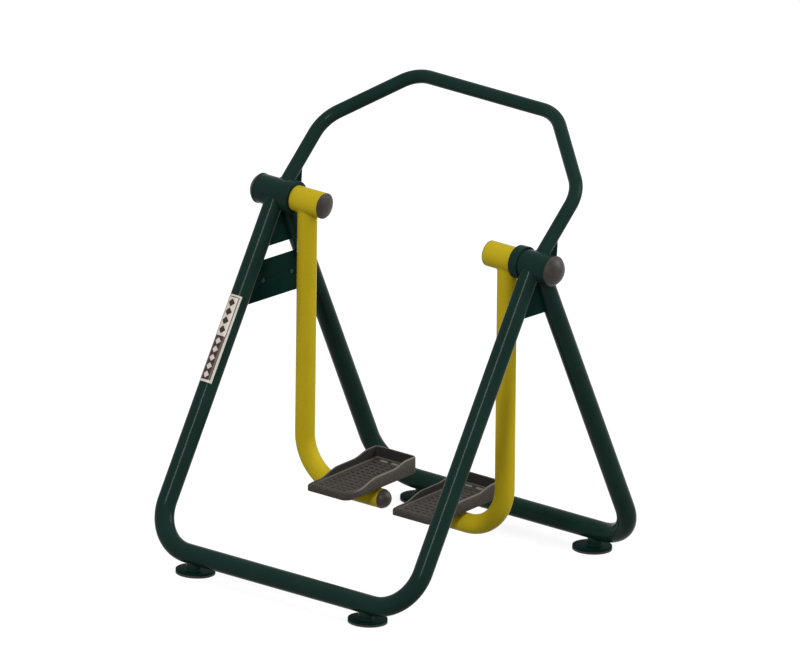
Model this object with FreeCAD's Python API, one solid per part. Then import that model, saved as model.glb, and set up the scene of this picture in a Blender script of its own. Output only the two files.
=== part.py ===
import FreeCAD, Part
import math
import os

# Outdoor air walker, in millimetres
# +X runs along the swing axis, +Y is the way the walker faces, +Z is up.
# The origin is on the ground under the middle of the machine.
# Hub and arm pieces are built for the right-hand side and mirrored to the left.

Vec = FreeCAD.Vector

# Stand: two bent tubes, one behind and one in front of the walker
FRAME_TUBE_D = 60.0
FRAME_TUBE_WALL = 3.0
FRAME_BEND_R = 137.0
LEG_X = 495.0
LEG_LEAN = 28.15
LEG_CROSSING_RISE = 25.7
AXIS_Z = 1037.0

# Feet: a stub under the rail, a steel flange and a rubber pad
FOOT_FROM_BEND = 24.5
FOOT_D = 120.0
FOOT_INSET = 10.7
FOOT_GAP = 15.5
FLANGE_T = 6.0
PAD_T = 7.0
FOOT_EDGE = 1.2
STUB_D = 44.0
STUB_WALL = 4.0

# Handlebar: one bent tube in a plane that leans forward from the hubs
BAR_TUBE_D = 42.0
BAR_TUBE_WALL = 3.0
BAR_BEND_R = 125.0
BAR_LEAN = 45.0
BAR_SHOULDER = 271.0
BAR_REACH = 495.0
BAR_TOP_X = 269.3

# Welded plates at the hubs
GUSSET_T = 6.0
BAR_GUSSET_Y = 94.0
BAR_GUSSET_FLARE = 7.0
LEG_GUSSET_DROP = 155.0
SIGN_T = 4.0
SIGN_TOP_DROP = 195.0
SIGN_BOTTOM_DROP = 320.0
SIGN_BOLT_Y = 67.0
SIGN_BOLT_DROP = 258.0
SIGN_BOLT_D = 8.0
SIGN_BOLT_HEAD_D = 15.0
SIGN_BOLT_HEAD_H = 4.5
SIGN_NUT_AF = 13.0
SIGN_NUT_H = 6.5
SIGN_HOLE_CLEARANCE = 0.2

# Label strip on the left rear leg
LABEL_START = 357.0
LABEL_LENGTH = 276.0
LABEL_WRAP = 100.0
LABEL_T = 0.6
LABEL_GLUE_T = 0.05

# Hub: housing tube with its collar, seats and domed cap
HOUSING_D = 90.0
HOUSING_WALL = 5.0
HOUSING_INSIDE_LEG = 61.0
HOUSING_BEYOND_BEARING = 26.5
COLLAR_D = 102.0
COLLAR_END_T = 4.0
COLLAR_SKIRT = 26.0
HUB_CAP_OVERHANG = 1.5
HUB_CAP_RIM = 5.0
HUB_CAP_RISE = 25.0
CAP_WALL = 3.0
CAP_SPIGOT = 10.0

# Bearings: one deep-groove ball bearing at each end of the housing
BEARING_OD = 62.0
BEARING_BORE = 30.0
BEARING_WIDTH = 16.0
BALL_D = 9.525
BALL_COUNT = 9
BALL_CLEARANCE = 0.05
RACE_LAND = 3.3
BEARING_INSET = 6.0
BEARING_RECESS = 4.0
BEARING_PITCH = 82.0
SEAT_SHOULDER = 6.0
SEAT_SHOULDER_BORE = 54.0

# Shaft, spacer, swing stops and lock nut
SHAFT_SHOULDER_D = 40.0
SHAFT_SEAL_CLEARANCE = 0.5
SPACER_D = 40.0
WASHER_D = 46.0
WASHER_T = 3.0
NUT_AF = 46.0
NUT_T = 12.0
THREAD_PROUD = 3.0
KEY_W = 8.0
KEY_H = 7.0
KEY_DEPTH = 4.0
KEY_L = 16.0
LUG_R = 36.0
LUG_L = 16.0
LUG_HALF_ANGLE = 12.0
STOP_INNER_R = 25.0
STOP_L = 24.0
STOP_HALF_ANGLE = 12.0
SWING_LIMIT = 60.0
STOP_SLACK = 0.5

# Swing arm: sleeve on the shaft, bent tube below it
SLEEVE_D = 79.0
SLEEVE_WALL = 5.0
SLEEVE_LENGTH = 106.0
SLEEVE_GAP = 2.0
WEB_T = 8.0
SLEEVE_CAP_RIM = 2.0
SLEEVE_CAP_RISE = 10.0
ARM_TUBE_D = 60.0
ARM_TUBE_WALL = 3.0
ARM_INSIDE_LEG = 108.0
ARM_DROP = 871.0
ARM_BEND_R = 141.0
ARM_END_X = 85.0
ARM_CAP_RIM = 3.0
ARM_CAP_RISE = 24.5
ARM_REST_LEAN = 2.6

# Pedal: an open tray with a low heel and a high toe, the same moulding on both sides
LEFT_PEDAL_X = -157.0
RIGHT_PEDAL_X = 172.0
PEDAL_WIDTH = 158.0
PEDAL_HEEL_Y = -173.0
PEDAL_TOE_Y = 155.0
PEDAL_LIFT = 10.0
PEDAL_TILT = 1.3
HEEL_H = 22.0
WAIST_H = 40.0
TOE_H = 52.0
HEEL_RISE_Y = -118.0
WAIST_BACK_Y = -32.0
WAIST_FRONT_Y = 42.0
TOE_RISE_Y = 112.0
HEEL_CORNER_R = 8.0
TOE_CORNER_R = 14.0
ROUND_HEEL_R = 28.0
MIN_CORNER_R = 3.0
POINT_TOLERANCE = 0.01
TRAY_WALL = 6.0
HEEL_LIP = 16.0
TRAY_FLOOR_Z = 17.0
TRAY_FLOOR_T = 6.0
SKIRT_WALL = 5.0
RIB_T = 4.0
RIB_PITCH_X = 38.0
RIB_PITCH_Y = 58.0
BOSS_D = 18.0

# Bracket that joins the pedal to the arm tube, and its four screws
BRACKET_T = 6.0
BRACKET_X = 100.0
BRACKET_Y = 124.0
SADDLE_T = 6.0
SADDLE_X = 50.0
SADDLE_Y = 54.0
SADDLE_DEPTH = 16.0
SCREW_D = 8.0
SCREW_BITE = 12.0
SCREW_HEAD_AF = 13.0
SCREW_HEAD_H = 5.5
SCREW_PITCH_X = 76.0
SCREW_PITCH_Y = 92.0
SCREW_CLEARANCE = 0.2

# Places that follow from the sizes above
FOOT_X = LEG_X - FRAME_BEND_R - FOOT_FROM_BEND
HOUSING_INNER_X = LEG_X - HOUSING_INSIDE_LEG
ARM_X = LEG_X - ARM_INSIDE_LEG
RAIL_Z = PAD_T + FLANGE_T + FOOT_GAP + FRAME_TUBE_D / 2
APEX_Z = AXIS_Z + LEG_CROSSING_RISE
LEG_SIN = math.sin(math.radians(LEG_LEAN))
LEG_COS = math.cos(math.radians(LEG_LEAN))
LEG_TAN = LEG_SIN / LEG_COS
BAR_SIN = math.sin(math.radians(BAR_LEAN))
BAR_COS = math.cos(math.radians(BAR_LEAN))
RAIL_Y = (APEX_Z - RAIL_Z) * LEG_TAN
HOUSING_BORE = HOUSING_D - 2 * HOUSING_WALL
COLLAR_INNER_X = HOUSING_INNER_X - COLLAR_END_T
SLEEVE_OUTER_X = COLLAR_INNER_X - SLEEVE_GAP
SLEEVE_INNER_X = SLEEVE_OUTER_X - SLEEVE_LENGTH
SLEEVE_BORE = SLEEVE_D - 2 * SLEEVE_WALL
INNER_BEARING_X = HOUSING_INNER_X + BEARING_INSET
OUTER_BEARING_X = INNER_BEARING_X + BEARING_PITCH
HOUSING_OUTER_X = OUTER_BEARING_X + BEARING_WIDTH + HOUSING_BEYOND_BEARING
SPACER_START_X = INNER_BEARING_X + BEARING_WIDTH
SPACER_MID_X = (SPACER_START_X + OUTER_BEARING_X) / 2
WASHER_X = OUTER_BEARING_X + BEARING_WIDTH
NUT_X = WASHER_X + WASHER_T
SHAFT_END_X = NUT_X + NUT_T + THREAD_PROUD
INNER_WEB_X = SLEEVE_INNER_X + CAP_SPIGOT + SLEEVE_CAP_RIM
SHAFT_START_X = INNER_WEB_X
ARM_TUBE_BORE = ARM_TUBE_D - 2 * ARM_TUBE_WALL
PEDAL_Z = AXIS_Z - ARM_DROP + ARM_TUBE_D / 2 + PEDAL_LIFT

X_AXIS = Vec(1, 0, 0)
HUB_CENTRE = Vec(0, 0, AXIS_Z)


# Helpers for turned, bent and flat pieces
def rod(start, end, diameter):
    """A solid round bar between two points."""
    along = end - start
    return Part.makeCylinder(diameter / 2, along.Length, start, along)


def axle_rod(x_start, x_end, diameter):
    """A solid round bar on the swing axis."""
    return rod(Vec(x_start, 0, AXIS_Z), Vec(x_end, 0, AXIS_Z), diameter)


def axle_ring(x_start, x_end, bore, diameter):
    """A ring on the swing axis."""
    return axle_rod(x_start, x_end, diameter).cut(axle_rod(x_start, x_end, bore))


def axle_wedge(x_start, x_end, inner_r, outer_r, middle, half_angle):
    """A piece of ring around the swing axis, its middle at an angle from straight down towards +Y."""
    corners = [(x_start, inner_r), (x_end, inner_r), (x_end, outer_r), (x_start, outer_r)]
    points = [Vec(x, 0, AXIS_Z - radius) for x, radius in corners]
    face = Part.Face(Part.makePolygon(points + points[:1]))
    face.rotate(HUB_CENTRE, X_AXIS, middle - half_angle)
    return face.revolve(HUB_CENTRE, X_AXIS, 2 * half_angle)


def hex_bar(start, end, across_flats):
    """A hexagonal bar between two points."""
    along = end - start
    radius = across_flats / math.sqrt(3)
    corners = [Vec(radius * math.cos(math.radians(60 * i)), radius * math.sin(math.radians(60 * i)), 0)
               for i in range(6)]
    bar = Part.Face(Part.makePolygon(corners + corners[:1])).extrude(Vec(0, 0, along.Length))
    bar.Placement = FreeCAD.Placement(start, FreeCAD.Rotation(Vec(0, 0, 1), along))
    return bar


def bent_path(points, bend_r):
    """Straight runs between the points, joined by arcs of one bend radius."""
    edges = []
    here = points[0]
    for before, corner, after in zip(points, points[1:], points[2:]):
        back = (before - corner).normalize()
        on = (after - corner).normalize()
        half_turn = (math.pi - back.getAngle(on)) / 2
        start = corner + back * bend_r * math.tan(half_turn)
        end = corner + on * bend_r * math.tan(half_turn)
        inward = (back + on).normalize()
        middle = corner + inward * bend_r * (1 / math.cos(half_turn) - 1)
        edges.append(Part.makeLine(here, start))
        edges.append(Part.Arc(start, middle, end).toShape())
        here = end
    edges.append(Part.makeLine(here, points[-1]))
    return Part.Wire(edges)


def bent_bar(points, bend_r, diameter):
    """A solid round bar along a bent path."""
    circle = Part.makeCircle(diameter / 2, points[0], points[1] - points[0])
    return bent_path(points, bend_r).makePipeShell([Part.Wire(circle)], True, False)


def bent_tube(points, bend_r, diameter, wall):
    """A tube along a bent path, open at both ends."""
    return bent_bar(points, bend_r, diameter).cut(bent_bar(points, bend_r, diameter - 2 * wall))


def side_plate(x, thickness, outline):
    """A flat plate square to the swing axis, its outline in (Y, Z)."""
    points = [Vec(x - thickness / 2, y, z) for y, z in outline]
    return Part.Face(Part.makePolygon(points + points[:1])).extrude(Vec(thickness, 0, 0))


def mirrored(shape):
    """The left-hand copy of a right-hand piece."""
    return shape.mirror(Vec(0, 0, 0), X_AXIS)


def both_sides(shape):
    """A right-hand piece and its left-hand copy."""
    return [shape, mirrored(shape)]


def group(shapes):
    """Separate solids kept together in one node."""
    return Part.makeCompound([solid for shape in shapes for solid in shape.Solids])


def dome_cap(diameter, bore, rim, rise):
    """A push-in end cap on the local X axis: a rim, a dome beyond it and a hollow spigot before it."""
    def dome_arc(base_r, tip_x):
        height = tip_x - rim
        sphere_r = (base_r ** 2 + height ** 2) / (2 * height)
        half = math.asin(base_r / sphere_r) / 2
        centre_x = tip_x - sphere_r
        middle = Vec(centre_x + sphere_r * math.cos(half), 0, sphere_r * math.sin(half))
        return Part.Arc(Vec(rim, 0, base_r), middle, Vec(tip_x, 0, 0)).toShape()

    inner_r = bore / 2 - CAP_WALL
    tip_x = rim + rise
    axis_edge = Part.makeLine(Vec(tip_x - CAP_WALL, 0, 0), Vec(tip_x, 0, 0))
    steps = [(rim, diameter / 2), (0, diameter / 2), (0, bore / 2), (-CAP_SPIGOT, bore / 2),
             (-CAP_SPIGOT, inner_r), (rim, inner_r)]
    corners = [Vec(x, 0, z) for x, z in steps]
    wall_edges = [Part.makeLine(start, end) for start, end in zip(corners, corners[1:])]
    outline = Part.Wire(Part.__sortEdges__(
        [axis_edge, dome_arc(diameter / 2, tip_x)] + wall_edges + [dome_arc(inner_r, tip_x - CAP_WALL)]))
    return Part.Face(outline).revolve(Vec(0, 0, 0), X_AXIS, 360)


def cap_at(cap, x, z, outward):
    """A cap seated in a tube end at (x, 0, z), its dome pointing along +X or -X."""
    seated = cap.copy()
    if outward < 0:
        seated = seated.mirror(Vec(0, 0, 0), X_AXIS)
    seated.translate(Vec(x, 0, z))
    return seated


# Stand
def leg_point(x, along, side):
    """A point on a leg's centreline, measured down from where the legs would cross."""
    return Vec(x, side * along * LEG_SIN, APEX_Z - along * LEG_COS)


def frame_route(side):
    """The centreline of one stand frame: leg, rail, leg. Side is -1 behind the walker, +1 in front."""
    top = LEG_CROSSING_RISE * LEG_COS
    foot = (APEX_Z - RAIL_Z) / LEG_COS
    return [leg_point(-LEG_X, top, side), leg_point(-LEG_X, foot, side),
            leg_point(LEG_X, foot, side), leg_point(LEG_X, top, side)]


def hub_bodies():
    """The two hub housings as solid bars, for trimming what is welded to them."""
    return both_sides(axle_rod(COLLAR_INNER_X, HOUSING_OUTER_X, HOUSING_D))


def stand_frame(side):
    """One bent stand frame, its leg ends trimmed to the hubs and to the other frame."""
    reach = 2 * AXIS_Z
    other_half = Part.makeBox(reach, reach, reach, Vec(-reach / 2, 0 if side < 0 else -reach, 0))
    tube = bent_tube(frame_route(side), FRAME_BEND_R, FRAME_TUBE_D, FRAME_TUBE_WALL)
    return tube.cut(hub_bodies() + [other_half])


def frame_bodies():
    """Both stand frames as solid bars, for trimming the plates between them."""
    return [bent_bar(frame_route(side), FRAME_BEND_R, FRAME_TUBE_D) for side in (-1, 1)]


def foot_parts(x, side):
    """The rubber pad, steel flange and stub of one foot."""
    disc_y = side * (RAIL_Y - FOOT_INSET)
    rail_y = side * RAIL_Y
    flange_top = PAD_T + FLANGE_T
    pad = rod(Vec(x, disc_y, 0), Vec(x, disc_y, PAD_T), FOOT_D)
    pad = pad.makeChamfer(FOOT_EDGE, [edge for edge in pad.Edges if edge.BoundBox.ZMax < PAD_T / 2])
    flange = rod(Vec(x, disc_y, PAD_T), Vec(x, disc_y, flange_top), FOOT_D)
    top_edges = [edge for edge in flange.Edges if edge.BoundBox.ZMin > PAD_T + FOOT_EDGE]
    flange = flange.makeFillet(FOOT_EDGE, top_edges)
    bottom = Vec(x, rail_y, flange_top)
    top = Vec(x, rail_y, RAIL_Z)
    stub = rod(bottom, top, STUB_D).cut(rod(bottom, top, STUB_D - 2 * STUB_WALL))
    stub = stub.cut(rod(Vec(x - STUB_D, rail_y, RAIL_Z), Vec(x + STUB_D, rail_y, RAIL_Z), FRAME_TUBE_D))
    return pad, flange, stub


# Handlebar
def bar_point(x, along):
    """A point in the handlebar's plane, measured up the lean from the swing axis."""
    return Vec(x, along * BAR_SIN, AXIS_Z + along * BAR_COS)


def handlebar_route():
    """The centreline of the handlebar from the right hub over the top to the left hub."""
    right = [bar_point(LEG_X, 0), bar_point(LEG_X, BAR_SHOULDER), bar_point(BAR_TOP_X, BAR_REACH)]
    left = [Vec(-point.x, point.y, point.z) for point in reversed(right)]
    return right + left


def handlebar():
    """The bent handlebar, its ends trimmed to the hubs."""
    return bent_tube(handlebar_route(), BAR_BEND_R, BAR_TUBE_D, BAR_TUBE_WALL).cut(hub_bodies())


# Welded plates and the sign plate
def leg_y(z):
    """How far a leg's centreline stands from the middle at a height."""
    return (APEX_Z - z) * LEG_TAN


def handlebar_gusset():
    """The plate under the handlebar, with one free edge that leans out a little at its top."""
    top_y = BAR_GUSSET_Y + BAR_GUSSET_FLARE
    outline = [(0, AXIS_Z), (top_y, AXIS_Z + top_y * BAR_COS / BAR_SIN),
               (BAR_GUSSET_Y, APEX_Z - BAR_GUSSET_Y / LEG_TAN)]
    blank = side_plate(LEG_X, GUSSET_T, outline)
    bar = bent_bar(handlebar_route(), BAR_BEND_R, BAR_TUBE_D)
    return blank.cut(hub_bodies() + frame_bodies() + [bar])


def leg_gusset():
    """The plate that ties the two legs together under the hub."""
    bottom = AXIS_Z - LEG_GUSSET_DROP
    blank = side_plate(LEG_X, GUSSET_T, [(0, AXIS_Z), (leg_y(bottom), bottom), (-leg_y(bottom), bottom)])
    return blank.cut(hub_bodies() + frame_bodies())


def sign_bolt_line(y):
    """The start of a sign bolt's shank and a unit step along it."""
    return Vec(-LEG_X, y, AXIS_Z - SIGN_BOLT_DROP), X_AXIS


def sign_plate():
    """The bare plate between the left legs, with two bolt holes."""
    top = AXIS_Z - SIGN_TOP_DROP
    bottom = AXIS_Z - SIGN_BOTTOM_DROP
    outline = [(-leg_y(top), top), (leg_y(top), top), (leg_y(bottom), bottom), (-leg_y(bottom), bottom)]
    hole_d = SIGN_BOLT_D + 2 * SIGN_HOLE_CLEARANCE
    holes = []
    for y in (-SIGN_BOLT_Y, SIGN_BOLT_Y):
        middle, step = sign_bolt_line(y)
        holes.append(rod(middle - step * SIGN_T, middle + step * SIGN_T, hole_d))
    return side_plate(-LEG_X, SIGN_T, outline).cut(frame_bodies() + holes)


def sign_bolts():
    """Two round-headed bolts in the sign plate, each with a nut behind it."""
    pieces = []
    for y in (-SIGN_BOLT_Y, SIGN_BOLT_Y):
        middle, step = sign_bolt_line(y)
        face = middle + step * (SIGN_T / 2)
        back = middle - step * (SIGN_T / 2)
        shank = rod(back - step * SIGN_NUT_H, face, SIGN_BOLT_D)
        head = rod(face, face + step * SIGN_BOLT_HEAD_H, SIGN_BOLT_HEAD_D)
        outer_rim = [edge for edge in head.Edges if edge.BoundBox.XMin > face.x + SIGN_BOLT_HEAD_H / 2]
        head = head.makeFillet(SIGN_BOLT_HEAD_H * 0.8, outer_rim)
        nut = hex_bar(back, back - step * SIGN_NUT_H, SIGN_NUT_AF).cut(shank)
        pieces += [shank.fuse(head).removeSplitter(), nut]
    return group(pieces)


def label_strip():
    """A thin printed strip wrapped on the outer side of the left rear leg."""
    inner_r = FRAME_TUBE_D / 2 + LABEL_GLUE_T
    inner = Part.makeCylinder(inner_r, LABEL_LENGTH)
    outer = Part.makeCylinder(inner_r + LABEL_T, LABEL_LENGTH, Vec(0, 0, 0), Vec(0, 0, 1), LABEL_WRAP)
    strip = outer.cut(inner)
    strip.rotate(Vec(0, 0, 0), Vec(0, 0, 1), -LABEL_WRAP / 2)
    down = Vec(0, -LEG_SIN, -LEG_COS)
    outward = Vec(0, -LEG_COS, LEG_SIN)
    turn = FreeCAD.Rotation(outward, down.cross(outward), down, "ZXY")
    place = FreeCAD.Placement(leg_point(-LEG_X, LABEL_START, -1), turn)
    strip.Placement = place.multiply(strip.Placement)
    return strip


# Hub
def hub_collar():
    """The cover ring over the housing's inner end, with a hole for the shaft."""
    seal_bore = SHAFT_SHOULDER_D + 2 * SHAFT_SEAL_CLEARANCE
    end_plate = axle_ring(COLLAR_INNER_X, HOUSING_INNER_X, seal_bore, COLLAR_D)
    skirt = axle_ring(HOUSING_INNER_X, HOUSING_INNER_X + COLLAR_SKIRT, HOUSING_D, COLLAR_D)
    return end_plate.fuse(skirt).removeSplitter()


def bearing_seat(bearing_x, mouth):
    """A ring in the housing that holds one bearing, open on the mouth side."""
    if mouth < 0:
        ends = (bearing_x - BEARING_RECESS, bearing_x + BEARING_WIDTH + SEAT_SHOULDER)
        pocket = (ends[0], bearing_x + BEARING_WIDTH)
    else:
        ends = (bearing_x - SEAT_SHOULDER, bearing_x + BEARING_WIDTH + BEARING_RECESS)
        pocket = (bearing_x, ends[1])
    return axle_ring(*ends, SEAT_SHOULDER_BORE, HOUSING_BORE).cut(axle_rod(*pocket, BEARING_OD))


def ball_pitch_d():
    """The diameter of the circle that the balls run on."""
    return (BEARING_OD + BEARING_BORE) / 2


def race_groove(bearing_x):
    """The ring-shaped space that the balls run in."""
    centre = Vec(bearing_x + BEARING_WIDTH / 2, 0, AXIS_Z)
    return Part.makeTorus(ball_pitch_d() / 2, BALL_D / 2 + BALL_CLEARANCE, centre, X_AXIS)


def outer_race(bearing_x):
    """The outer ring of one bearing."""
    land = ball_pitch_d() + 2 * RACE_LAND
    ring = axle_ring(bearing_x, bearing_x + BEARING_WIDTH, land, BEARING_OD)
    return ring.cut(race_groove(bearing_x))


def inner_race(bearing_x):
    """The inner ring of one bearing."""
    land = ball_pitch_d() - 2 * RACE_LAND
    ring = axle_ring(bearing_x, bearing_x + BEARING_WIDTH, BEARING_BORE, land)
    return ring.cut(race_groove(bearing_x))


def bearing_balls(bearing_x):
    """The balls of one bearing."""
    top = Vec(bearing_x + BEARING_WIDTH / 2, 0, AXIS_Z + ball_pitch_d() / 2)
    balls = []
    for i in range(BALL_COUNT):
        ball = Part.makeSphere(BALL_D / 2, top)
        ball.rotate(HUB_CENTRE, X_AXIS, 360 / BALL_COUNT * i)
        balls.append(ball)
    return balls


def swing_stops():
    """Two blocks inside one housing that the spacer's lug meets at the ends of the swing."""
    offset = SWING_LIMIT + STOP_SLACK + LUG_HALF_ANGLE + STOP_HALF_ANGLE
    ends = (SPACER_MID_X - STOP_L / 2, SPACER_MID_X + STOP_L / 2)
    return [axle_wedge(*ends, STOP_INNER_R, HOUSING_BORE / 2, side * offset, STOP_HALF_ANGLE)
            for side in (-1, 1)]


# Swing arm
def stop_key():
    """The key that turns the stop spacer with the shaft."""
    corner = Vec(SPACER_MID_X - KEY_L / 2, -KEY_W / 2, AXIS_Z - BEARING_BORE / 2 + KEY_DEPTH - KEY_H)
    return Part.makeBox(KEY_L, KEY_W, KEY_H, corner)


def arm_shaft():
    """The shaft through the hub, with a shoulder for the inner bearing."""
    shoulder = axle_rod(SLEEVE_OUTER_X, INNER_BEARING_X, SHAFT_SHOULDER_D)
    bar = axle_rod(SHAFT_START_X, SHAFT_END_X, BEARING_BORE).fuse(shoulder)
    return bar.cut(stop_key()).removeSplitter()


def stop_spacer():
    """The tube between the two inner races, with the lug that limits the swing."""
    tube = axle_ring(SPACER_START_X, OUTER_BEARING_X, BEARING_BORE, SPACER_D)
    ends = (SPACER_MID_X - LUG_L / 2, SPACER_MID_X + LUG_L / 2)
    root_r = (BEARING_BORE + SPACER_D) / 4
    lug = axle_wedge(*ends, root_r, LUG_R, 0, LUG_HALF_ANGLE)
    return tube.fuse(lug).cut(stop_key()).removeSplitter()


def shaft_nut():
    """The lock nut that clamps the inner races."""
    bar = hex_bar(Vec(NUT_X, 0, AXIS_Z), Vec(NUT_X + NUT_T, 0, AXIS_Z), NUT_AF)
    return bar.cut(axle_rod(NUT_X, NUT_X + NUT_T, BEARING_BORE))


def sleeve_webs():
    """The two discs that carry the sleeve on the shaft."""
    outer_web_x = SLEEVE_OUTER_X - WEB_T
    return [axle_ring(x, x + WEB_T, BEARING_BORE, SLEEVE_BORE) for x in (INNER_WEB_X, outer_web_x)]


def arm_route():
    """The arm's centreline from the sleeve down and in under the pedal."""
    corner_z = AXIS_Z - ARM_DROP
    return [Vec(ARM_X, 0, AXIS_Z), Vec(ARM_X, 0, corner_z), Vec(ARM_END_X, 0, corner_z)]


def arm_tube():
    """The bent arm tube, its top trimmed to the sleeve."""
    tube = bent_tube(arm_route(), ARM_BEND_R, ARM_TUBE_D, ARM_TUBE_WALL)
    return tube.cut(axle_rod(SLEEVE_INNER_X, SLEEVE_OUTER_X, SLEEVE_D))


# Pedal, in its own frame: X across, Y towards the toe, Z up from its underside
def edges_at(block, corners, height):
    """The block's upright edges that stand on any of some corners."""
    uprights = [edge for edge in block.Edges if edge.BoundBox.ZLength > height / 2]
    ends = [(edge, vertex.Point) for edge in uprights for vertex in edge.Vertexes]
    return [edge for edge, end in ends if any(end.isEqual(corner, POINT_TOLERANCE) for corner in corners)]


def pedal_plan(inset, heel_inset, z, height):
    """The pedal's plan outline, drawn in by an inset, as a solid of some height."""
    half = PEDAL_WIDTH / 2 - inset
    heel = PEDAL_HEEL_Y + heel_inset
    toe = PEDAL_TOE_Y - inset
    block = Part.makeBox(2 * half, toe - heel, height, Vec(-half, heel, z))
    middle_y = (heel + toe) / 2
    uprights = [edge for edge in block.Edges if edge.BoundBox.ZLength > height / 2]
    rounded = [edge for edge in uprights if edge.BoundBox.YMax < middle_y and edge.BoundBox.XMin > 0]
    block = block.makeFillet(ROUND_HEEL_R - inset, rounded)
    toe_corners = [Vec(-half, toe, z), Vec(half, toe, z)]
    block = block.makeFillet(max(TOE_CORNER_R - inset, MIN_CORNER_R), edges_at(block, toe_corners, height))
    heel_corner = [Vec(-half, heel, z)]
    return block.makeFillet(max(HEEL_CORNER_R - inset, MIN_CORNER_R), edges_at(block, heel_corner, height))


def straight(x, points):
    """Straight edges through points given as (Y, Z) in the plane at X."""
    return [Part.makeLine(Vec(x, *start), Vec(x, *end)) for start, end in zip(points, points[1:])]


def rise(y0, z0, y1, z1, x):
    """A smooth S from one height to another, level at both ends, as two equal tangent arcs."""
    middle = Vec(x, (y0 + y1) / 2, (z0 + z1) / 2)
    length, height = (y1 - y0) / 2, (z1 - z0) / 2
    radius = (length ** 2 + height ** 2) / (2 * height)
    half = math.asin(length / radius) / 2
    low = Vec(x, y0 + radius * math.sin(half), z0 + radius * (1 - math.cos(half)))
    high = Vec(x, y1 - radius * math.sin(half), z1 - radius * (1 - math.cos(half)))
    arcs = [Part.Arc(Vec(x, y0, z0), low, middle), Part.Arc(middle, high, Vec(x, y1, z1))]
    return [arc.toShape() for arc in arcs]


def pedal_side():
    """The pedal's side view as a solid: level heel, a rise to the waist and a rise to the toe."""
    x = -PEDAL_WIDTH / 2
    heel, toe = PEDAL_HEEL_Y, PEDAL_TOE_Y
    edges = straight(x, [(heel, 0), (heel, HEEL_H), (HEEL_RISE_Y, HEEL_H)])
    edges += rise(HEEL_RISE_Y, HEEL_H, WAIST_BACK_Y, WAIST_H, x)
    edges += straight(x, [(WAIST_BACK_Y, WAIST_H), (WAIST_FRONT_Y, WAIST_H)])
    edges += rise(WAIST_FRONT_Y, WAIST_H, TOE_RISE_Y, TOE_H, x)
    edges += straight(x, [(TOE_RISE_Y, TOE_H), (toe, TOE_H), (toe, 0), (heel, 0)])
    return Part.Face(Part.Wire(edges)).extrude(Vec(PEDAL_WIDTH, 0, 0))


def screw_places():
    """The four screw centres in the pedal's frame."""
    return [(sx * SCREW_PITCH_X / 2, sy * SCREW_PITCH_Y / 2) for sx in (-1, 1) for sy in (-1, 1)]


def pedal_in_place(shape, x):
    """Tilt a pedal piece toe up and set it over the arm tube."""
    placed = shape.copy()
    placed.rotate(Vec(0, 0, 0), X_AXIS, PEDAL_TILT)
    placed.translate(Vec(x, 0, PEDAL_Z))
    return placed


def pedal():
    """The tray with its ribbed underside and four screw bosses."""
    body = pedal_plan(0, 0, 0, TOE_H).common(pedal_side())
    body = body.cut(pedal_plan(TRAY_WALL, HEEL_LIP, TRAY_FLOOR_Z, TOE_H))
    pocket_h = TRAY_FLOOR_Z - TRAY_FLOOR_T
    length = PEDAL_TOE_Y - PEDAL_HEEL_Y
    ribs = [Part.makeBox(RIB_T, length, pocket_h, Vec(i * RIB_PITCH_X - RIB_T / 2, PEDAL_HEEL_Y, 0))
            for i in (-1, 0, 1)]
    cross_corners = [Vec(-PEDAL_WIDTH / 2, j * RIB_PITCH_Y - RIB_T / 2, 0) for j in (-2, -1, 0, 1, 2)]
    ribs += [Part.makeBox(PEDAL_WIDTH, RIB_T, pocket_h, corner) for corner in cross_corners]
    ribs += [rod(Vec(x, y, 0), Vec(x, y, pocket_h), BOSS_D) for x, y in screw_places()]
    pockets = pedal_plan(SKIRT_WALL, SKIRT_WALL, 0, pocket_h).cut(ribs)
    holes = [rod(Vec(x, y, 0), Vec(x, y, SCREW_BITE), SCREW_D) for x, y in screw_places()]
    return body.cut([pockets] + holes)


def pedal_bracket():
    """The flat plate under the pedal and its two saddles, before they are fitted to the arm tube."""
    corner = Vec(-BRACKET_X / 2, -BRACKET_Y / 2, -BRACKET_T)
    plate = Part.makeBox(BRACKET_X, BRACKET_Y, BRACKET_T, corner)
    for side in (-1, 1):
        corner = Vec(side * SADDLE_X / 2 - SADDLE_T / 2, -SADDLE_Y / 2, -BRACKET_T - SADDLE_DEPTH)
        plate = plate.fuse(Part.makeBox(SADDLE_T, SADDLE_Y, SADDLE_DEPTH, corner))
    hole_d = SCREW_D + 2 * SCREW_CLEARANCE
    holes = [rod(Vec(x, y, -2 * BRACKET_T), Vec(x, y, BRACKET_T), hole_d) for x, y in screw_places()]
    return plate.cut(holes).removeSplitter()


def pedal_screws():
    """The four screws that hold the pedal on its bracket."""
    screws = []
    for x, y in screw_places():
        seat = Vec(x, y, -BRACKET_T)
        head = hex_bar(seat - Vec(0, 0, SCREW_HEAD_H), seat, SCREW_HEAD_AF)
        screws.append(head.fuse(rod(seat, Vec(x, y, SCREW_BITE), SCREW_D)).removeSplitter())
    return group(screws)


# Nodes
os.makedirs("parts", exist_ok=True)


def save(name, shape):
    """Write one node."""
    shape.exportStep(os.path.join("parts", name + ".step"))


def save_pair(name, shape):
    """Write a right-hand piece and its left-hand copy as two nodes."""
    save("right_" + name, shape)
    save("left_" + name, mirrored(shape))


def swung(shape):
    """An arm piece turned to where the arms hang at rest."""
    turned = shape.copy()
    turned.rotate(HUB_CENTRE, X_AXIS, ARM_REST_LEAN)
    return turned


def save_arm_pair(name, shape):
    """Write an arm piece on both sides."""
    save_pair(name, swung(shape))


save("rear_frame", stand_frame(-1))
save("front_frame", stand_frame(1))
save("handlebar", handlebar())
save_pair("handlebar_gusset", handlebar_gusset())
save_pair("leg_gusset", leg_gusset())
save("sign_plate", sign_plate())
save("sign_bolts", sign_bolts())
save("label_strip", label_strip())

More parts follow.
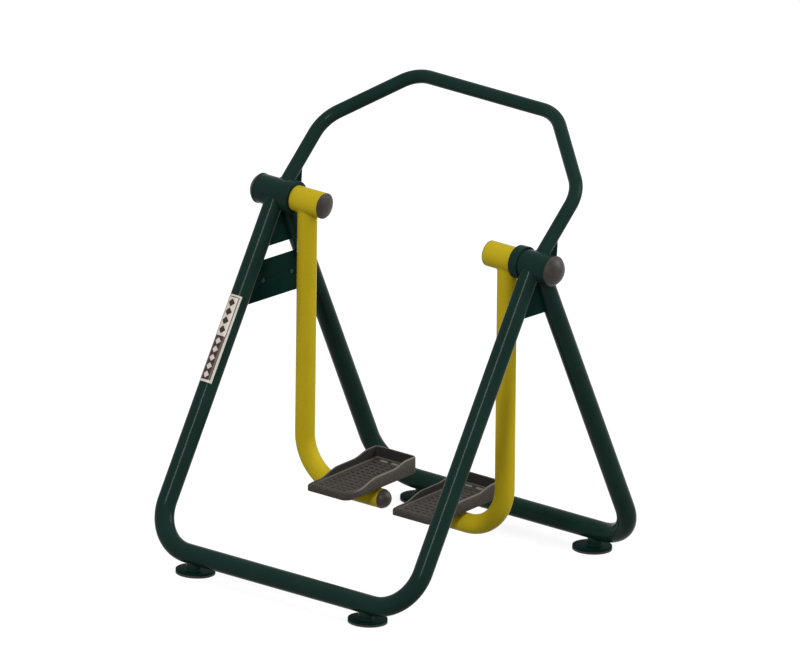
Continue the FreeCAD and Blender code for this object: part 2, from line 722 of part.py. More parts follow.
stubs = []
for end, side in (("rear", -1), ("front", 1)):
    for hand, x in (("left", -FOOT_X), ("right", FOOT_X)):
        pad, flange, stub = foot_parts(x, side)
        save(f"{end}_{hand}_foot_pad", pad)
        save(f"{end}_{hand}_foot_flange", flange)
        stubs.append(stub)
save("foot_stubs", group(stubs))

hub_cap = dome_cap(HOUSING_D + 2 * HUB_CAP_OVERHANG, HOUSING_BORE, HUB_CAP_RIM, HUB_CAP_RISE)
seats = [bearing_seat(INNER_BEARING_X, -1), bearing_seat(OUTER_BEARING_X, 1)]
save_pair("hub_housing", axle_ring(HOUSING_INNER_X, HOUSING_OUTER_X, HOUSING_BORE, HOUSING_D))
save_pair("hub_collar", hub_collar())
save_pair("hub_cap", cap_at(hub_cap, HOUSING_OUTER_X, AXIS_Z, 1))
save("bearing_seats", group(both_sides(group(seats))))
outer_rings = [outer_race(INNER_BEARING_X), outer_race(OUTER_BEARING_X)]
save("bearing_outer_rings", group(both_sides(group(outer_rings))))
save("swing_stops", group(both_sides(group(swing_stops()))))

sleeve_cap = dome_cap(SLEEVE_D, SLEEVE_BORE, SLEEVE_CAP_RIM, SLEEVE_CAP_RISE)
arm_cap = dome_cap(ARM_TUBE_D, ARM_TUBE_BORE, ARM_CAP_RIM, ARM_CAP_RISE)
save_arm_pair("arm_shaft", arm_shaft())
save_arm_pair("bearing_inner_rings", group([inner_race(INNER_BEARING_X), inner_race(OUTER_BEARING_X)]))
save_arm_pair("bearing_balls", group(bearing_balls(INNER_BEARING_X) + bearing_balls(OUTER_BEARING_X)))
save_arm_pair("stop_spacer", stop_spacer())
save_arm_pair("stop_key", stop_key())
save_arm_pair("shaft_washer", axle_ring(WASHER_X, NUT_X, BEARING_BORE, WASHER_D))
save_arm_pair("shaft_nut", shaft_nut())
save_arm_pair("arm_sleeve", axle_ring(SLEEVE_INNER_X, SLEEVE_OUTER_X, SLEEVE_BORE, SLEEVE_D))
save_arm_pair("sleeve_webs", group(sleeve_webs()))
save_arm_pair("sleeve_cap", cap_at(sleeve_cap, SLEEVE_INNER_X, AXIS_Z, -1))
save_arm_pair("arm_tube", arm_tube())
save_arm_pair("arm_end_cap", cap_at(arm_cap, ARM_END_X, AXIS_Z - ARM_DROP, -1))

arm_bar = bent_bar(arm_route(), ARM_BEND_R, ARM_TUBE_D)
for hand, x, bar in (("left", LEFT_PEDAL_X, mirrored(arm_bar)), ("right", RIGHT_PEDAL_X, arm_bar)):
    save(hand + "_pedal", swung(pedal_in_place(pedal(), x)))
    save(hand + "_pedal_bracket", swung(pedal_in_place(pedal_bracket(), x).cut(bar)))
    save(hand + "_pedal_screws", swung(pedal_in_place(pedal_screws(), x)))
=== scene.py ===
# %% [markdown]
# # An outdoor air walker
# A park machine for one person: a dark green tube stand with a hoop handlebar, and two yellow arms
# that swing from hubs at hip height, each with a black pedal tray at its lower end.
# The frame below holds every piece at its real size and place. These cells give it its surfaces:
# finely bent tubes, turned caps, moulded pedals, weld beads, paint and plastic.

import math

import bmesh
import bpy
import numpy as np
from mathutils import Matrix, Vector


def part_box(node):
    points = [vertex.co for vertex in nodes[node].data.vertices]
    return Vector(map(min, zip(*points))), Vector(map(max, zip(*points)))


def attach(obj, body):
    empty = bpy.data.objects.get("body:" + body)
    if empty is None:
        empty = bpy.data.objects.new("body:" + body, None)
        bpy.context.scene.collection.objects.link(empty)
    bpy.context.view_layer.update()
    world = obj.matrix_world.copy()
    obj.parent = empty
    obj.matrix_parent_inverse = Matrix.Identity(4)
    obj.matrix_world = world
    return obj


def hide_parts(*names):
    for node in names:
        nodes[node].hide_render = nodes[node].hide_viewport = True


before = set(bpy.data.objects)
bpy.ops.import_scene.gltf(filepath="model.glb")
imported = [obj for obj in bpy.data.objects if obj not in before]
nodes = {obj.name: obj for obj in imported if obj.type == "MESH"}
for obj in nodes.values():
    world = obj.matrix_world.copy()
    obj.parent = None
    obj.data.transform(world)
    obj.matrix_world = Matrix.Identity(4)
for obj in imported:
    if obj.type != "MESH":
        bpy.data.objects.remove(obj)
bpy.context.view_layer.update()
SIDES = {"left": -1.0, "right": 1.0}

# %% [markdown]
# ## Where the camera stands
# The picture was made with parallel rays: opposite edges of the stand stay parallel in it. So the
# camera is orthographic. A long lens from far away would look nearly the same, but its distance would
# be one more guess. The azimuth, the elevation and the slight roll were found from the directions of
# the three axes in the picture, and the scale from stock pipe sizes.

# %% Camera
VIEW_AZIMUTH = math.radians(38.85)
VIEW_ELEVATION = math.radians(17.4)
VIEW_ROLL = math.radians(2.36)
PICTURE_PIXELS = (800, 666)
PIXELS_PER_METRE = 335.0
HUB_PIXEL = (407.4, 229.6)
CAMERA_DISTANCE = 8.0
CAMERA_REACH = 60.0
AXIS_HEIGHT = 1.037

right_level = Vector((math.cos(VIEW_AZIMUTH), math.sin(VIEW_AZIMUTH), 0.0))
towards_eye = Vector((math.sin(VIEW_AZIMUTH) * math.cos(VIEW_ELEVATION),
                      -math.cos(VIEW_AZIMUTH) * math.cos(VIEW_ELEVATION),
                      math.sin(VIEW_ELEVATION)))
up_level = towards_eye.cross(right_level)
picture_right = right_level * math.cos(VIEW_ROLL) + up_level * math.sin(VIEW_ROLL)
picture_up = up_level * math.cos(VIEW_ROLL) - right_level * math.sin(VIEW_ROLL)
aim = (Vector((0.0, 0.0, AXIS_HEIGHT))
       + picture_right * (PICTURE_PIXELS[0] / 2 - HUB_PIXEL[0]) / PIXELS_PER_METRE
       - picture_up * (PICTURE_PIXELS[1] / 2 - HUB_PIXEL[1]) / PIXELS_PER_METRE)

camera_data = bpy.data.cameras.new("picture_camera")
camera_data.type = "ORTHO"
camera_data.ortho_scale = PICTURE_PIXELS[0] / PIXELS_PER_METRE
camera_data.clip_end = CAMERA_REACH
camera = bpy.data.objects.new("picture_camera", camera_data)
bpy.context.scene.collection.objects.link(camera)
turn = Matrix((picture_right, picture_up, towards_eye)).transposed().to_4x4()
camera.matrix_world = Matrix.Translation(aim + towards_eye * CAMERA_DISTANCE) @ turn
bpy.context.scene.camera = camera
print("camera at", [round(value, 3) for value in camera.matrix_world.translation])

# %% [markdown]
# ## Floor, sky and lamps
# The picture's ground is plain white. Strong lamps would make it so, but they would wash out the paint
# too. So the floor and the sky are white only to rays that come from the camera, or that gloss sends
# out. The light that reaches the paint is a level sky, one broad lamp over the viewer's left shoulder,
# which draws the thin bright lines down the near legs, and one from the right and behind, which lifts
# the far edges of the yellow arms.

# %% Nodes in one line
def add(tree, kind, inputs=None, **settings):
    """Adds one shader node. Inputs are set to a value, or linked where the value is another socket."""
    made = tree.nodes.new(kind)
    for name, value in settings.items():
        setattr(made, name, value)
    for name, value in (inputs or {}).items():
        if isinstance(value, bpy.types.NodeSocket):
            tree.links.new(value, made.inputs[name])
        else:
            made.inputs[name].default_value = value
    return made


def calc(tree, operation, first, second=0.0):
    """One sum of two numbers or sockets, such as ADD or MULTIPLY."""
    return add(tree, "ShaderNodeMath", {0: first, 1: second}, operation=operation).outputs[0]


def seen_by_eye(tree):
    """One where a ray comes from the camera, a gloss reflection or a clear body, else zero."""
    path = add(tree, "ShaderNodeLightPath")
    either = calc(tree, "MAXIMUM", path.outputs["Is Camera Ray"], path.outputs["Is Glossy Ray"])
    return calc(tree, "MAXIMUM", either, path.outputs["Is Transmission Ray"])


print("helpers for nodes are ready")

# %% Sky
SKY_LIGHT_LEVEL = 0.56
SKY_LIGHT_TOP = 0.30
WHITE = (1.0, 1.0, 1.0, 1.0)

world = bpy.data.worlds.new("studio")
bpy.context.scene.world = world
world.use_nodes = True
world.node_tree.nodes.clear()
facing = add(world.node_tree, "ShaderNodeTexCoord").outputs["Generated"]
height = add(world.node_tree, "ShaderNodeSeparateXYZ", {0: facing}).outputs["Z"]
lift = calc(world.node_tree, "MULTIPLY", calc(world.node_tree, "MAXIMUM", height, 0.0), SKY_LIGHT_TOP)
for_paint = calc(world.node_tree, "ADD", lift, SKY_LIGHT_LEVEL)
sky_strength = add(world.node_tree, "ShaderNodeMapRange",
                   {"Value": seen_by_eye(world.node_tree), "To Min": for_paint, "To Max": 1.0})
sky = add(world.node_tree, "ShaderNodeBackground",
          {"Color": WHITE, "Strength": sky_strength.outputs["Result"]})
add(world.node_tree, "ShaderNodeOutputWorld", {"Surface": sky.outputs["Background"]})
bpy.context.scene.view_settings.view_transform = "Standard"
print("sky light", SKY_LIGHT_LEVEL, "and", SKY_LIGHT_TOP, "more overhead")

# %% Floor
FLOOR_HALF = 30.0
FLOOR_TO_LIGHT = 0.25
FLOOR_GLOW = 0.80
FLOOR_SHADOW_SHARE = 0.26

floor_mesh = bpy.data.meshes.new("floor")
corners = FLOOR_HALF * np.array([(-1, -1, 0), (1, -1, 0), (1, 1, 0), (-1, 1, 0)], float)
floor_mesh.from_pydata(corners, [], [(0, 1, 2, 3)])
floor = bpy.data.objects.new("floor", floor_mesh)
bpy.context.scene.collection.objects.link(floor)
floor_paint = bpy.data.materials.new("pale_floor")
floor_paint.use_nodes = True
tree = floor_paint.node_tree
tree.nodes.clear()
dull = add(tree, "ShaderNodeBsdfDiffuse", {"Color": (FLOOR_TO_LIGHT,) * 3 + (1.0,)})
shadowed = add(tree, "ShaderNodeBsdfDiffuse", {"Color": (FLOOR_SHADOW_SHARE,) * 3 + (1.0,)})
glow = add(tree, "ShaderNodeEmission", {"Color": WHITE, "Strength": FLOOR_GLOW})
bright = add(tree, "ShaderNodeAddShader", {0: shadowed.outputs[0], 1: glow.outputs[0]})
choice = add(tree, "ShaderNodeMixShader", {0: seen_by_eye(tree), 1: dull.outputs[0], 2: bright.outputs[0]})
add(tree, "ShaderNodeOutputMaterial", {"Surface": choice.outputs[0]})
floor_mesh.materials.append(floor_paint)
print("floor is", 2 * FLOOR_HALF, "m wide")

# %% Lamps
KEY_FROM = Vector((0.316, -0.792, 0.522))
KEY_STRENGTH = 1.25
KEY_SPREAD = math.radians(11.0)
EDGE_FROM = Vector((0.62, 0.60, 0.50))
EDGE_STRENGTH = 1.6
EDGE_SPREAD = math.radians(30.0)


def far_lamp(name, direction, strength, spread):
    """A lamp so far off that its light is even: it shines along minus its local Z, turned to face."""
    data = bpy.data.lights.new(name, "SUN")
    data.energy = strength
    data.angle = spread
    lamp = bpy.data.objects.new(name, data)
    lamp.rotation_euler = direction.to_track_quat("Z", "Y").to_euler()
    bpy.context.scene.collection.objects.link(lamp)
    return lamp


far_lamp("key_lamp", KEY_FROM, KEY_STRENGTH, KEY_SPREAD)
far_lamp("edge_lamp", EDGE_FROM, EDGE_STRENGTH, EDGE_SPREAD)
print("lamps:", KEY_STRENGTH, EDGE_STRENGTH)

# %% [markdown]
# ## Finishes
# The stand is powder coated steel. Powder paint melts into a skin that is never quite flat: it has a
# faint orange peel and small shifts in depth. The pedals and caps are moulded plastic with a fine
# grain, and the machined pieces inside the hubs have the same at a finer scale. An image could hold
# this, but noise has no seams and stays sharp at any size. All the materials share the effect, so it
# is one node group that gives a colour, a roughness and a normal.

# %% Node groups
def start_group(name, inputs, outputs):
    """A shader group with float or colour sockets, and its input and output nodes."""
    made = bpy.data.node_groups.new(name, "ShaderNodeTree")
    kinds = {"f": "NodeSocketFloat", "c": "NodeSocketColor", "v": "NodeSocketVector"}
    for socket, kind in inputs:
        made.interface.new_socket(name=socket, in_out="INPUT", socket_type=kinds[kind])
    for socket, kind in outputs:
        made.interface.new_socket(name=socket, in_out="OUTPUT", socket_type=kinds[kind])
    return made, made.nodes.new("NodeGroupInput").outputs, made.nodes.new("NodeGroupOutput").inputs


def noise(tree, scale, detail):
    """Soft noise from nought to one on Object coordinates."""
    place = add(tree, "ShaderNodeTexCoord").outputs["Object"]
    return add(tree, "ShaderNodeTexNoise", {"Vector": place, "Scale": scale, "Detail": detail}).outputs["Fac"]


SKIN_INPUTS = [("Colour", "c"), ("Deep Colour", "c"), ("Patch Scale", "f"), ("Grain Scale", "f"),
               ("Grain Depth", "f"), ("Roughness Low", "f"), ("Roughness High", "f")]
SKIN_OUTPUTS = [("Colour", "c"), ("Roughness", "f"), ("Normal", "v")]
PATCH_LOW = 0.35
PATCH_HIGH = 0.65
PATCH_DETAIL = 4.0
GRAIN_DETAIL = 1.0


def skin_group():
    """A coat with slow shifts between two colours, and a fine grain that moves the normal."""
    tree, given, made = start_group("coat_skin", SKIN_INPUTS, SKIN_OUTPUTS)
    patches = noise(tree, given["Patch Scale"], PATCH_DETAIL)
    shift = add(tree, "ShaderNodeMapRange", {"Value": patches, "From Min": PATCH_LOW, "From Max": PATCH_HIGH})
    colour = add(tree, "ShaderNodeMix", {"Factor": shift.outputs[0], "A": given["Colour"],
                                         "B": given["Deep Colour"]}, data_type="RGBA")
    grain = noise(tree, given["Grain Scale"], GRAIN_DETAIL)
    sheen = add(tree, "ShaderNodeMapRange", {"Value": patches, "To Min": given["Roughness Low"],
                                             "To Max": given["Roughness High"]})
    bump = add(tree, "ShaderNodeBump", {"Height": grain, "Distance": given["Grain Depth"], "Strength": 1.0})
    tree.links.new(colour.outputs["Result"], made["Colour"])
    tree.links.new(sheen.outputs[0], made["Roughness"])
    tree.links.new(bump.outputs[0], made["Normal"])
    return tree


coat_skin = skin_group()
print("group", coat_skin.name, "has", len(coat_skin.nodes), "nodes")

# %% [markdown]
# A material starts from the Principled shader with its fixed numbers on its own sockets. Only what
# changes over the surface comes in through the group. The plates and the feet have a green of their
# own: duller than the tubes', and darker, which is painted shade on the same paint.

# %% Materials that use the skin
def tint(red, green, blue):
    """A colour given as it looks on a screen, from 0 to 255, turned into light by the curve that all
    screens share: s / 12.92 where s is small, and else ((s + 0.055) / 1.055) ^ 2.4."""
    shown = np.array([red, green, blue]) / 255.0
    light = np.where(shown <= 0.04045, shown / 12.92, ((shown + 0.055) / 1.055) ** 2.4)
    return (*[float(value) for value in light], 1.0)


def coated(name, colour, deep, patch, grain, depth, rough, specular, metallic=0.0):
    """A Principled material whose colour, roughness and normal come from the coat skin. Patch and
    grain are how fine its shifts and its grain are, depth is the grain's height in metres, and rough
    is its lowest and highest roughness."""
    made = bpy.data.materials.new(name)
    made.use_nodes = True
    tree = made.node_tree
    tree.nodes.clear()
    skin = add(tree, "ShaderNodeGroup", node_tree=coat_skin)
    values = {"Colour": colour, "Deep Colour": deep, "Patch Scale": patch, "Grain Scale": grain,
              "Grain Depth": depth, "Roughness Low": rough[0], "Roughness High": rough[1]}
    for socket, value in values.items():
        skin.inputs[socket].default_value = value
    shader = add(tree, "ShaderNodeBsdfPrincipled",
                 {"Base Color": skin.outputs["Colour"], "Roughness": skin.outputs["Roughness"],
                  "Normal": skin.outputs["Normal"], "Metallic": metallic, "Specular IOR Level": specular})
    add(tree, "ShaderNodeOutputMaterial", {"Surface": shader.outputs[0]})
    return made


MILLIMETRE = 0.001
green_paint = coated("green_powder_coat", tint(24, 46, 40), tint(21, 42, 36), patch=9.0, grain=420.0,
                     depth=0.03 * MILLIMETRE, rough=(0.13, 0.19), specular=0.03)
yellow_paint = coated("yellow_powder_coat", tint(182, 161, 30), tint(178, 156, 28), patch=9.0, grain=420.0,
                      depth=0.03 * MILLIMETRE, rough=(0.22, 0.30), specular=0.02)
# Painted shade: a darker copy of the tubes' green paint, for the plates and the foot discs.
shaded_plate_paint = coated("dull_green_with_painted_shade", tint(9, 36, 30), tint(7, 32, 27), patch=14.0, grain=420.0,
                     depth=0.04 * MILLIMETRE, rough=(0.42, 0.55), specular=0.01)
cap_plastic = coated("moulded_cap_plastic", tint(56, 49, 44), tint(44, 39, 36), patch=60.0, grain=900.0,
                     depth=0.12 * MILLIMETRE, rough=(0.40, 0.48), specular=0.24)
foot_rubber = coated("foot_rubber", tint(52, 52, 50), tint(42, 42, 41), patch=40.0, grain=700.0,
                     depth=0.15 * MILLIMETRE, rough=(0.6, 0.8), specular=0.3)
steel = coated("machined_steel", tint(176, 176, 174), tint(160, 160, 160), patch=30.0, grain=1200.0,
               depth=0.02 * MILLIMETRE, rough=(0.25, 0.4), specular=0.5, metallic=1.0)
zinc = coated("zinc_plated_steel", tint(190, 192, 192), tint(166, 170, 174), patch=55.0, grain=800.0,
              depth=0.02 * MILLIMETRE, rough=(0.3, 0.45), specular=0.5, metallic=1.0)
dark_zinc = coated("painted_over_zinc", tint(30, 44, 40), tint(24, 36, 32), patch=55.0, grain=800.0,
                   depth=0.02 * MILLIMETRE, rough=(0.3, 0.45), specular=0.2)
print("materials:", [material.name for material in bpy.data.materials])

# %% Finishes on the carried-over pieces
def finish_of(name):
    """The finish of a piece by the kind of piece that it is."""
    if name.endswith("_cap"):
        return cap_plastic
    if name.endswith("foot_pad"):
        return foot_rubber
    if name.endswith(("arm_sleeve", "arm_tube", "sleeve_webs", "pedal_bracket")):
        return yellow_paint
    if name.endswith(("screws", "bolts", "nut", "washer")):
        return zinc
    if any(word in name for word in ("bearing", "shaft", "spacer", "key", "stops")):
        return steel
    return green_paint


def dress(piece, material):
    """Gives a piece one material on its first slot."""
    piece.data.materials.clear()
    piece.data.materials.append(material)


for name, piece in nodes.items():
    dress(piece, finish_of(name))
print("dressed", len(nodes), "carried-over pieces")

# %% [markdown]
# ## Bent tubes
# A bender makes a tube in straight runs and arcs of one radius. A curve with a round bevel could draw
# it, but its ends couldn't be cut to a hub. So the surface is a ring carried along the line: a point
# on it is the line's point plus the tube's radius times the cosine of an angle along one side
# direction, plus its sine along the other. Where a tube is welded to a hub, each line along the tube
# is cut where it meets the hub's cylinder, so that the joint is tight all round.

# %% Meshes from rows of points
CRISP_EDGE = 32.0


def into_scene(name, rows, loop=False, sharp=CRISP_EDGE):
    """Makes a closed mesh of an array of rows (n, m, 3). Each row closes on itself. Neighbouring rows
    are joined by four-sided faces. The first and last rows join too where loop is true, and otherwise
    get a flat face each. Edges sharper than the given angle stay crisp."""
    count, around = rows.shape[:2]
    here, step = np.meshgrid(np.arange(count if loop else count - 1), np.arange(around), indexing="ij")
    after, beside = (here + 1) % count, (step + 1) % around
    quads = np.stack([here * around + step, here * around + beside,
                      after * around + beside, after * around + step], -1).reshape(-1, 4)
    faces = quads.tolist()
    if not loop:
        faces += [list(range(around)), list(range((count - 1) * around, count * around))]
    mesh = bpy.data.meshes.new(name)
    mesh.from_pydata(rows.reshape(-1, 3), [], faces)
    shell = bmesh.new()
    shell.from_mesh(mesh)
    bmesh.ops.recalc_face_normals(shell, faces=shell.faces)
    shell.to_mesh(mesh)
    shell.free()
    mesh.polygons.foreach_set("use_smooth", np.ones(len(mesh.polygons), bool))
    mesh.set_sharp_from_angle(angle=math.radians(sharp))
    piece = bpy.data.objects.new(name, mesh)
    bpy.context.scene.collection.objects.link(piece)
    return piece


def fit(piece, body, material, slot, *replaced):
    """Gives a new piece its material and its body, and hides the nodes that it stands for. The slot is not
    used.
    """
    dress(piece, material)
    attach(piece, body)
    if replaced:
        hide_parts(*replaced)
    print(piece.name, "faces", len(piece.data.polygons))
    return piece


def unit(vectors):
    """Vectors scaled to length one."""
    return vectors / np.linalg.norm(vectors, axis=-1, keepdims=True)


print("edges sharper than", CRISP_EDGE, "degrees stay crisp")

# %% Routes and rings
ARC_STEPS = 28
RING_STEPS = 72
HUB = np.array([0.0, 0.0, AXIS_HEIGHT])


def bend(points, radius):
    """Points and directions along straight runs joined by arcs: at a corner, the arc's centre lies on
    the line that halves the corner, and the point at angle a is centre + radius * (out * cos a +
    along * sin a)."""
    places, ways = [points[:1]], [unit(points[1:2] - points[:1])]
    for before, corner, after in zip(points, points[1:], points[2:]):
        way_in, way_out = unit(corner - before), unit(after - corner)
        turned = math.acos(float(way_in @ way_out))
        start = corner - way_in * radius * math.tan(turned / 2)
        inward = unit(way_out - way_in * float(way_in @ way_out))
        angle = np.linspace(0.0, turned, ARC_STEPS)[:, None]
        places.append(start + inward * radius + radius * (np.sin(angle) * way_in - np.cos(angle) * inward))
        ways.append(np.cos(angle) * way_in + np.sin(angle) * inward)
    places.append(points[-1:])
    ways.append(unit(points[-1:] - points[-2:-1]))
    return np.concatenate(places), np.concatenate(ways)


def tube_rows(places, ways, square, radius):
    """Rings along a flat route. Square is the direction square to the route's plane. A ring point is
    place + radius * (cos a * square + sin a * (way x square))."""
    angle = np.linspace(0.0, 2 * math.pi, RING_STEPS, endpoint=False)[None, :, None]
    across = np.cross(ways, square)[:, None, :]
    return places[:, None, :] + radius * (np.cos(angle) * square + np.sin(angle) * across)


def cut_to_hub(ring, way, radius):
    """Slides each ring point along the tube to the hub's cylinder: the distance from the foot of the
    perpendicular on the axis is the square root of radius squared less the offset squared."""
    flat = np.array([0.0, 1.0, 1.0])
    from_axis = (ring - HUB) * flat
    along = from_axis @ way
    offset = from_axis - along[:, None] * way
    reach = np.sqrt(radius ** 2 - (offset ** 2).sum(-1))
    return ring + (np.sign(along.mean()) * reach - along)[:, None] * way


print("an arc has", ARC_STEPS, "rings, and a ring", RING_STEPS, "points")

# %% [markdown]
# ## The stand and the handlebar
# Two U frames lean together and meet at the hubs. Each is one tube: leg, rail, leg. The handlebar is
# a thinner tube with four equal bends, in a plane that leans forward from the hubs. Only half of its
# corners are written down: the rest are their mirror image.

# %% Stand frames
STAND_TUBE_R = 0.030
STAND_BEND_R = 0.137
LEG_START = 0.1
LEG_X = 0.495
LEG_LEAN = math.radians(28.15)
LEG_CROSSING_RISE = 0.0257
RAIL_HEIGHT = 0.0585
hub_low, hub_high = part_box("right_hub_housing")
HUB_R = (hub_high.z - hub_low.z) / 2
CUT_DEPTH = 0.0004


def leg_way(side):
    """The direction down a leg, on the rear side (-1) or the front side (+1)."""
    return np.array([0.0, side * math.sin(LEG_LEAN), -math.cos(LEG_LEAN)])


def stand_frame(name, side):
    """One U frame from hub to hub, and the rings where it meets them."""
    down = leg_way(side)
    crossing = HUB + np.array([0.0, 0.0, LEG_CROSSING_RISE])
    foot = crossing + down * (crossing[2] - RAIL_HEIGHT) / math.cos(LEG_LEAN)
    out = np.array([LEG_X, 0.0, 0.0])
    start = crossing + down * LEG_START
    places, ways = bend(np.array([start - out, foot - out, foot + out, start + out]), STAND_BEND_R)
    rows = tube_rows(places, ways, np.cross(np.array([1.0, 0.0, 0.0]), down), STAND_TUBE_R)
    rows[0] = cut_to_hub(rows[0], down, HUB_R - CUT_DEPTH)
    rows[-1] = cut_to_hub(rows[-1], down, HUB_R - CUT_DEPTH)
    fit(into_scene(name + "_tube", rows), "frame", green_paint, "green_paint", name)
    return rows[0], rows[-1]


leg_rings = {side: stand_frame(name, side) for name, side in (("rear_frame", -1), ("front_frame", 1))}

# %% Handlebar
BAR_TUBE_R = 0.021
BAR_BEND_R = 0.125
BAR_LEAN = math.radians(45.0)
BAR_SHOULDER = 0.271
BAR_REACH = 0.495
BAR_TOP_X = 0.2693
BAR_START = 0.06
bar_way = np.array([0.0, math.sin(BAR_LEAN), math.cos(BAR_LEAN)])


def bar_point(x, along):
    """A point in the handlebar's plane."""
    return HUB + np.array([x, 0.0, 0.0]) + bar_way * along


bar_corners = [bar_point(LEG_X, BAR_START), bar_point(LEG_X, BAR_SHOULDER), bar_point(BAR_TOP_X, BAR_REACH)]
bar_corners += [point * np.array([-1.0, 1.0, 1.0]) for point in bar_corners[::-1]]
places, ways = bend(np.array(bar_corners), BAR_BEND_R)
bar_rows = tube_rows(places, ways, np.cross(np.array([1.0, 0.0, 0.0]), bar_way), BAR_TUBE_R)
bar_rows[0] = cut_to_hub(bar_rows[0], bar_way, HUB_R - CUT_DEPTH)
bar_rows[-1] = cut_to_hub(bar_rows[-1], bar_way, HUB_R - CUT_DEPTH)
fit(into_scene("handlebar_tube", bar_rows), "frame", green_paint, "green_paint", "handlebar")

# %% [markdown]
# ## The swing arms
# Each arm is bent once, at the bottom, and runs in under its pedal. It hangs a little forward of
# straight down, as the picture shows, so its line is worked out hanging plumb and then turned about
# the swing axis. The object itself stays unturned, as every piece of the frame is.

# %% Arm tubes
ARM_LEAN = math.radians(2.6)
ARM_X = 0.387
ARM_DROP = 0.871
ARM_BEND_R = 0.141
ARM_END_X = 0.085
ARM_START_SHARE = 0.05


def swung(points):
    """Points turned about the swing axis by the arm's lean: y' = y cos t - z sin t, z' = y sin t +
    z cos t, with z counted from the axis."""
    cosine, sine = math.cos(ARM_LEAN), math.sin(ARM_LEAN)
    from_hub = points - HUB
    turned = np.stack([from_hub[..., 0], from_hub[..., 1] * cosine - from_hub[..., 2] * sine,
                       from_hub[..., 1] * sine + from_hub[..., 2] * cosine], -1)
    return turned + HUB


arm_rings = {}
sleeve_low, sleeve_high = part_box("right_arm_sleeve")
SLEEVE_R = (sleeve_high.z - sleeve_low.z) / 2
for hand, side in SIDES.items():
    drop = np.array([0.0, 0.0, -ARM_DROP])
    top = HUB + np.array([side * ARM_X, 0.0, 0.0])
    end = HUB + drop + np.array([side * ARM_END_X, 0.0, 0.0])
    places, ways = bend(np.array([top + drop * ARM_START_SHARE, top + drop, end]), ARM_BEND_R)
    rows = tube_rows(places, ways, np.array([0.0, 1.0, 0.0]), STAND_TUBE_R)
    rows[0] = cut_to_hub(rows[0], np.array([0.0, 0.0, -1.0]), SLEEVE_R - CUT_DEPTH)
    arm_rings[hand] = swung(rows[0])
    fit(into_scene(hand + "_arm_bent_tube", swung(rows)), hand + "_arm", yellow_paint, "yellow_paint",
        hand + "_arm_tube")

# %% [markdown]
# ## Turned pieces
# Hub housings, collars, sleeves, caps and feet are all round. Each is a profile of radius against
# distance along its axis, turned once round, as on a lathe. A cylinder with a bevel would do for the
# plain ones, but a profile also gives the collar's open seam and the caps' domes. The corners of the
# profile are rounded first, because no real edge is perfectly sharp, and a rounded one catches a line
# of light.

# %% Rounded profiles
EDGE_STEPS = 5


def rounded(corners, radii):
    """A closed profile with each corner rounded: between the points where the curve leaves its two
    sides, a point is (1 - s)^2 * start + 2 * s * (1 - s) * corner + s^2 * end, with s from 0 to 1."""
    corners = np.array(corners, float)
    before = unit(np.roll(corners, 1, 0) - corners)
    after = unit(np.roll(corners, -1, 0) - corners)
    half = np.arccos(np.clip((before * after).sum(-1), -1, 1)) / 2
    cut = (np.array(radii) / np.tan(half))[:, None]
    share = np.linspace(0.0, 1.0, EDGE_STEPS)[None, :, None]
    start, end, corner = (corners + before * cut)[:, None], (corners + after * cut)[:, None], corners[:, None]
    return ((1 - share) ** 2 * start + 2 * share * (1 - share) * corner + share ** 2 * end).reshape(-1, 2)


def turned_on_x(profile):
    """A profile of (x, r) points turned round the swing axis: (y, z) = axis + r * (cos a, sin a)."""
    angle = np.linspace(0.0, 2 * math.pi, RING_STEPS, endpoint=False)[None, :]
    x, r = profile[:, :1], profile[:, 1:]
    ring = np.stack([np.broadcast_to(x, (len(x), RING_STEPS)), r * np.cos(angle), r * np.sin(angle)], -1)
    return ring + HUB


def make_ring(name, profile, body, material, slot, node):
    """A turned piece with a bore: its closed profile loops, so rows join from last to first."""
    return fit(into_scene(name, turned_on_x(profile), loop=True), body, material, slot, node)


def span(node):
    """The lowest and highest x of a node, and its radius."""
    low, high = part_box(node)
    return low.x, high.x, (high.z - low.z) / 2


EDGE_R = 0.0008
HUB_WALL = 0.005
COLLAR_END = 0.004
COLLAR_BORE_R = 0.0205
COLLAR_GAP = 0.00005
COLLAR_SKIRT_R = HUB_R + COLLAR_GAP
SEAM_OPEN = 0.0024
SEAM_IN = 0.0035
for hand, side in SIDES.items():
    low, high, radius = span(hand + "_hub_housing")
    corners = [(low, radius - HUB_WALL), (high, radius - HUB_WALL), (high, radius), (low, radius)]
    make_ring(hand + "_hub_tube", rounded(corners, [EDGE_R] * 4), "frame", green_paint, "green_paint",
              hand + "_hub_housing")
    low, high, radius = span(hand + "_hub_collar")
    inner, outer = (low, high) if side > 0 else (high, low)
    web = inner + side * COLLAR_END
    corners = [(inner, COLLAR_BORE_R), (web, COLLAR_BORE_R), (web, COLLAR_SKIRT_R),
               (outer - side * SEAM_IN, COLLAR_SKIRT_R), (outer, COLLAR_SKIRT_R + SEAM_OPEN),
               (outer, radius), (inner, radius)]
    radii = [EDGE_R, EDGE_R, EDGE_R / 8, EDGE_R / 2, EDGE_R / 2, 2 * EDGE_R, 2 * EDGE_R]
    make_ring(hand + "_hub_cover", rounded(corners, radii), "frame", green_paint, "green_paint",
              hand + "_hub_collar")
    low, high, radius = span(hand + "_arm_sleeve")
    corners = [(low, radius - HUB_WALL), (high, radius - HUB_WALL), (high, radius), (low, radius)]
    make_ring(hand + "_arm_hub", rounded(corners, [EDGE_R] * 4), hand + "_arm", yellow_paint,
              "yellow_paint", hand + "_arm_sleeve")

# %% [markdown]
# The caps are thin mouldings with a short spigot that presses into the tube. Their profile runs from
# the middle of the dome's inside, round the spigot and the rim, to the middle of its outside. A whole
# half sphere would stand out too far, so each dome is only the part of a sphere that gives its rise.

# %% Domed caps
CAP_WALL = 0.003
CAP_SPIGOT = 0.010
DOME_STEPS = 26
POLE_R = 0.00002


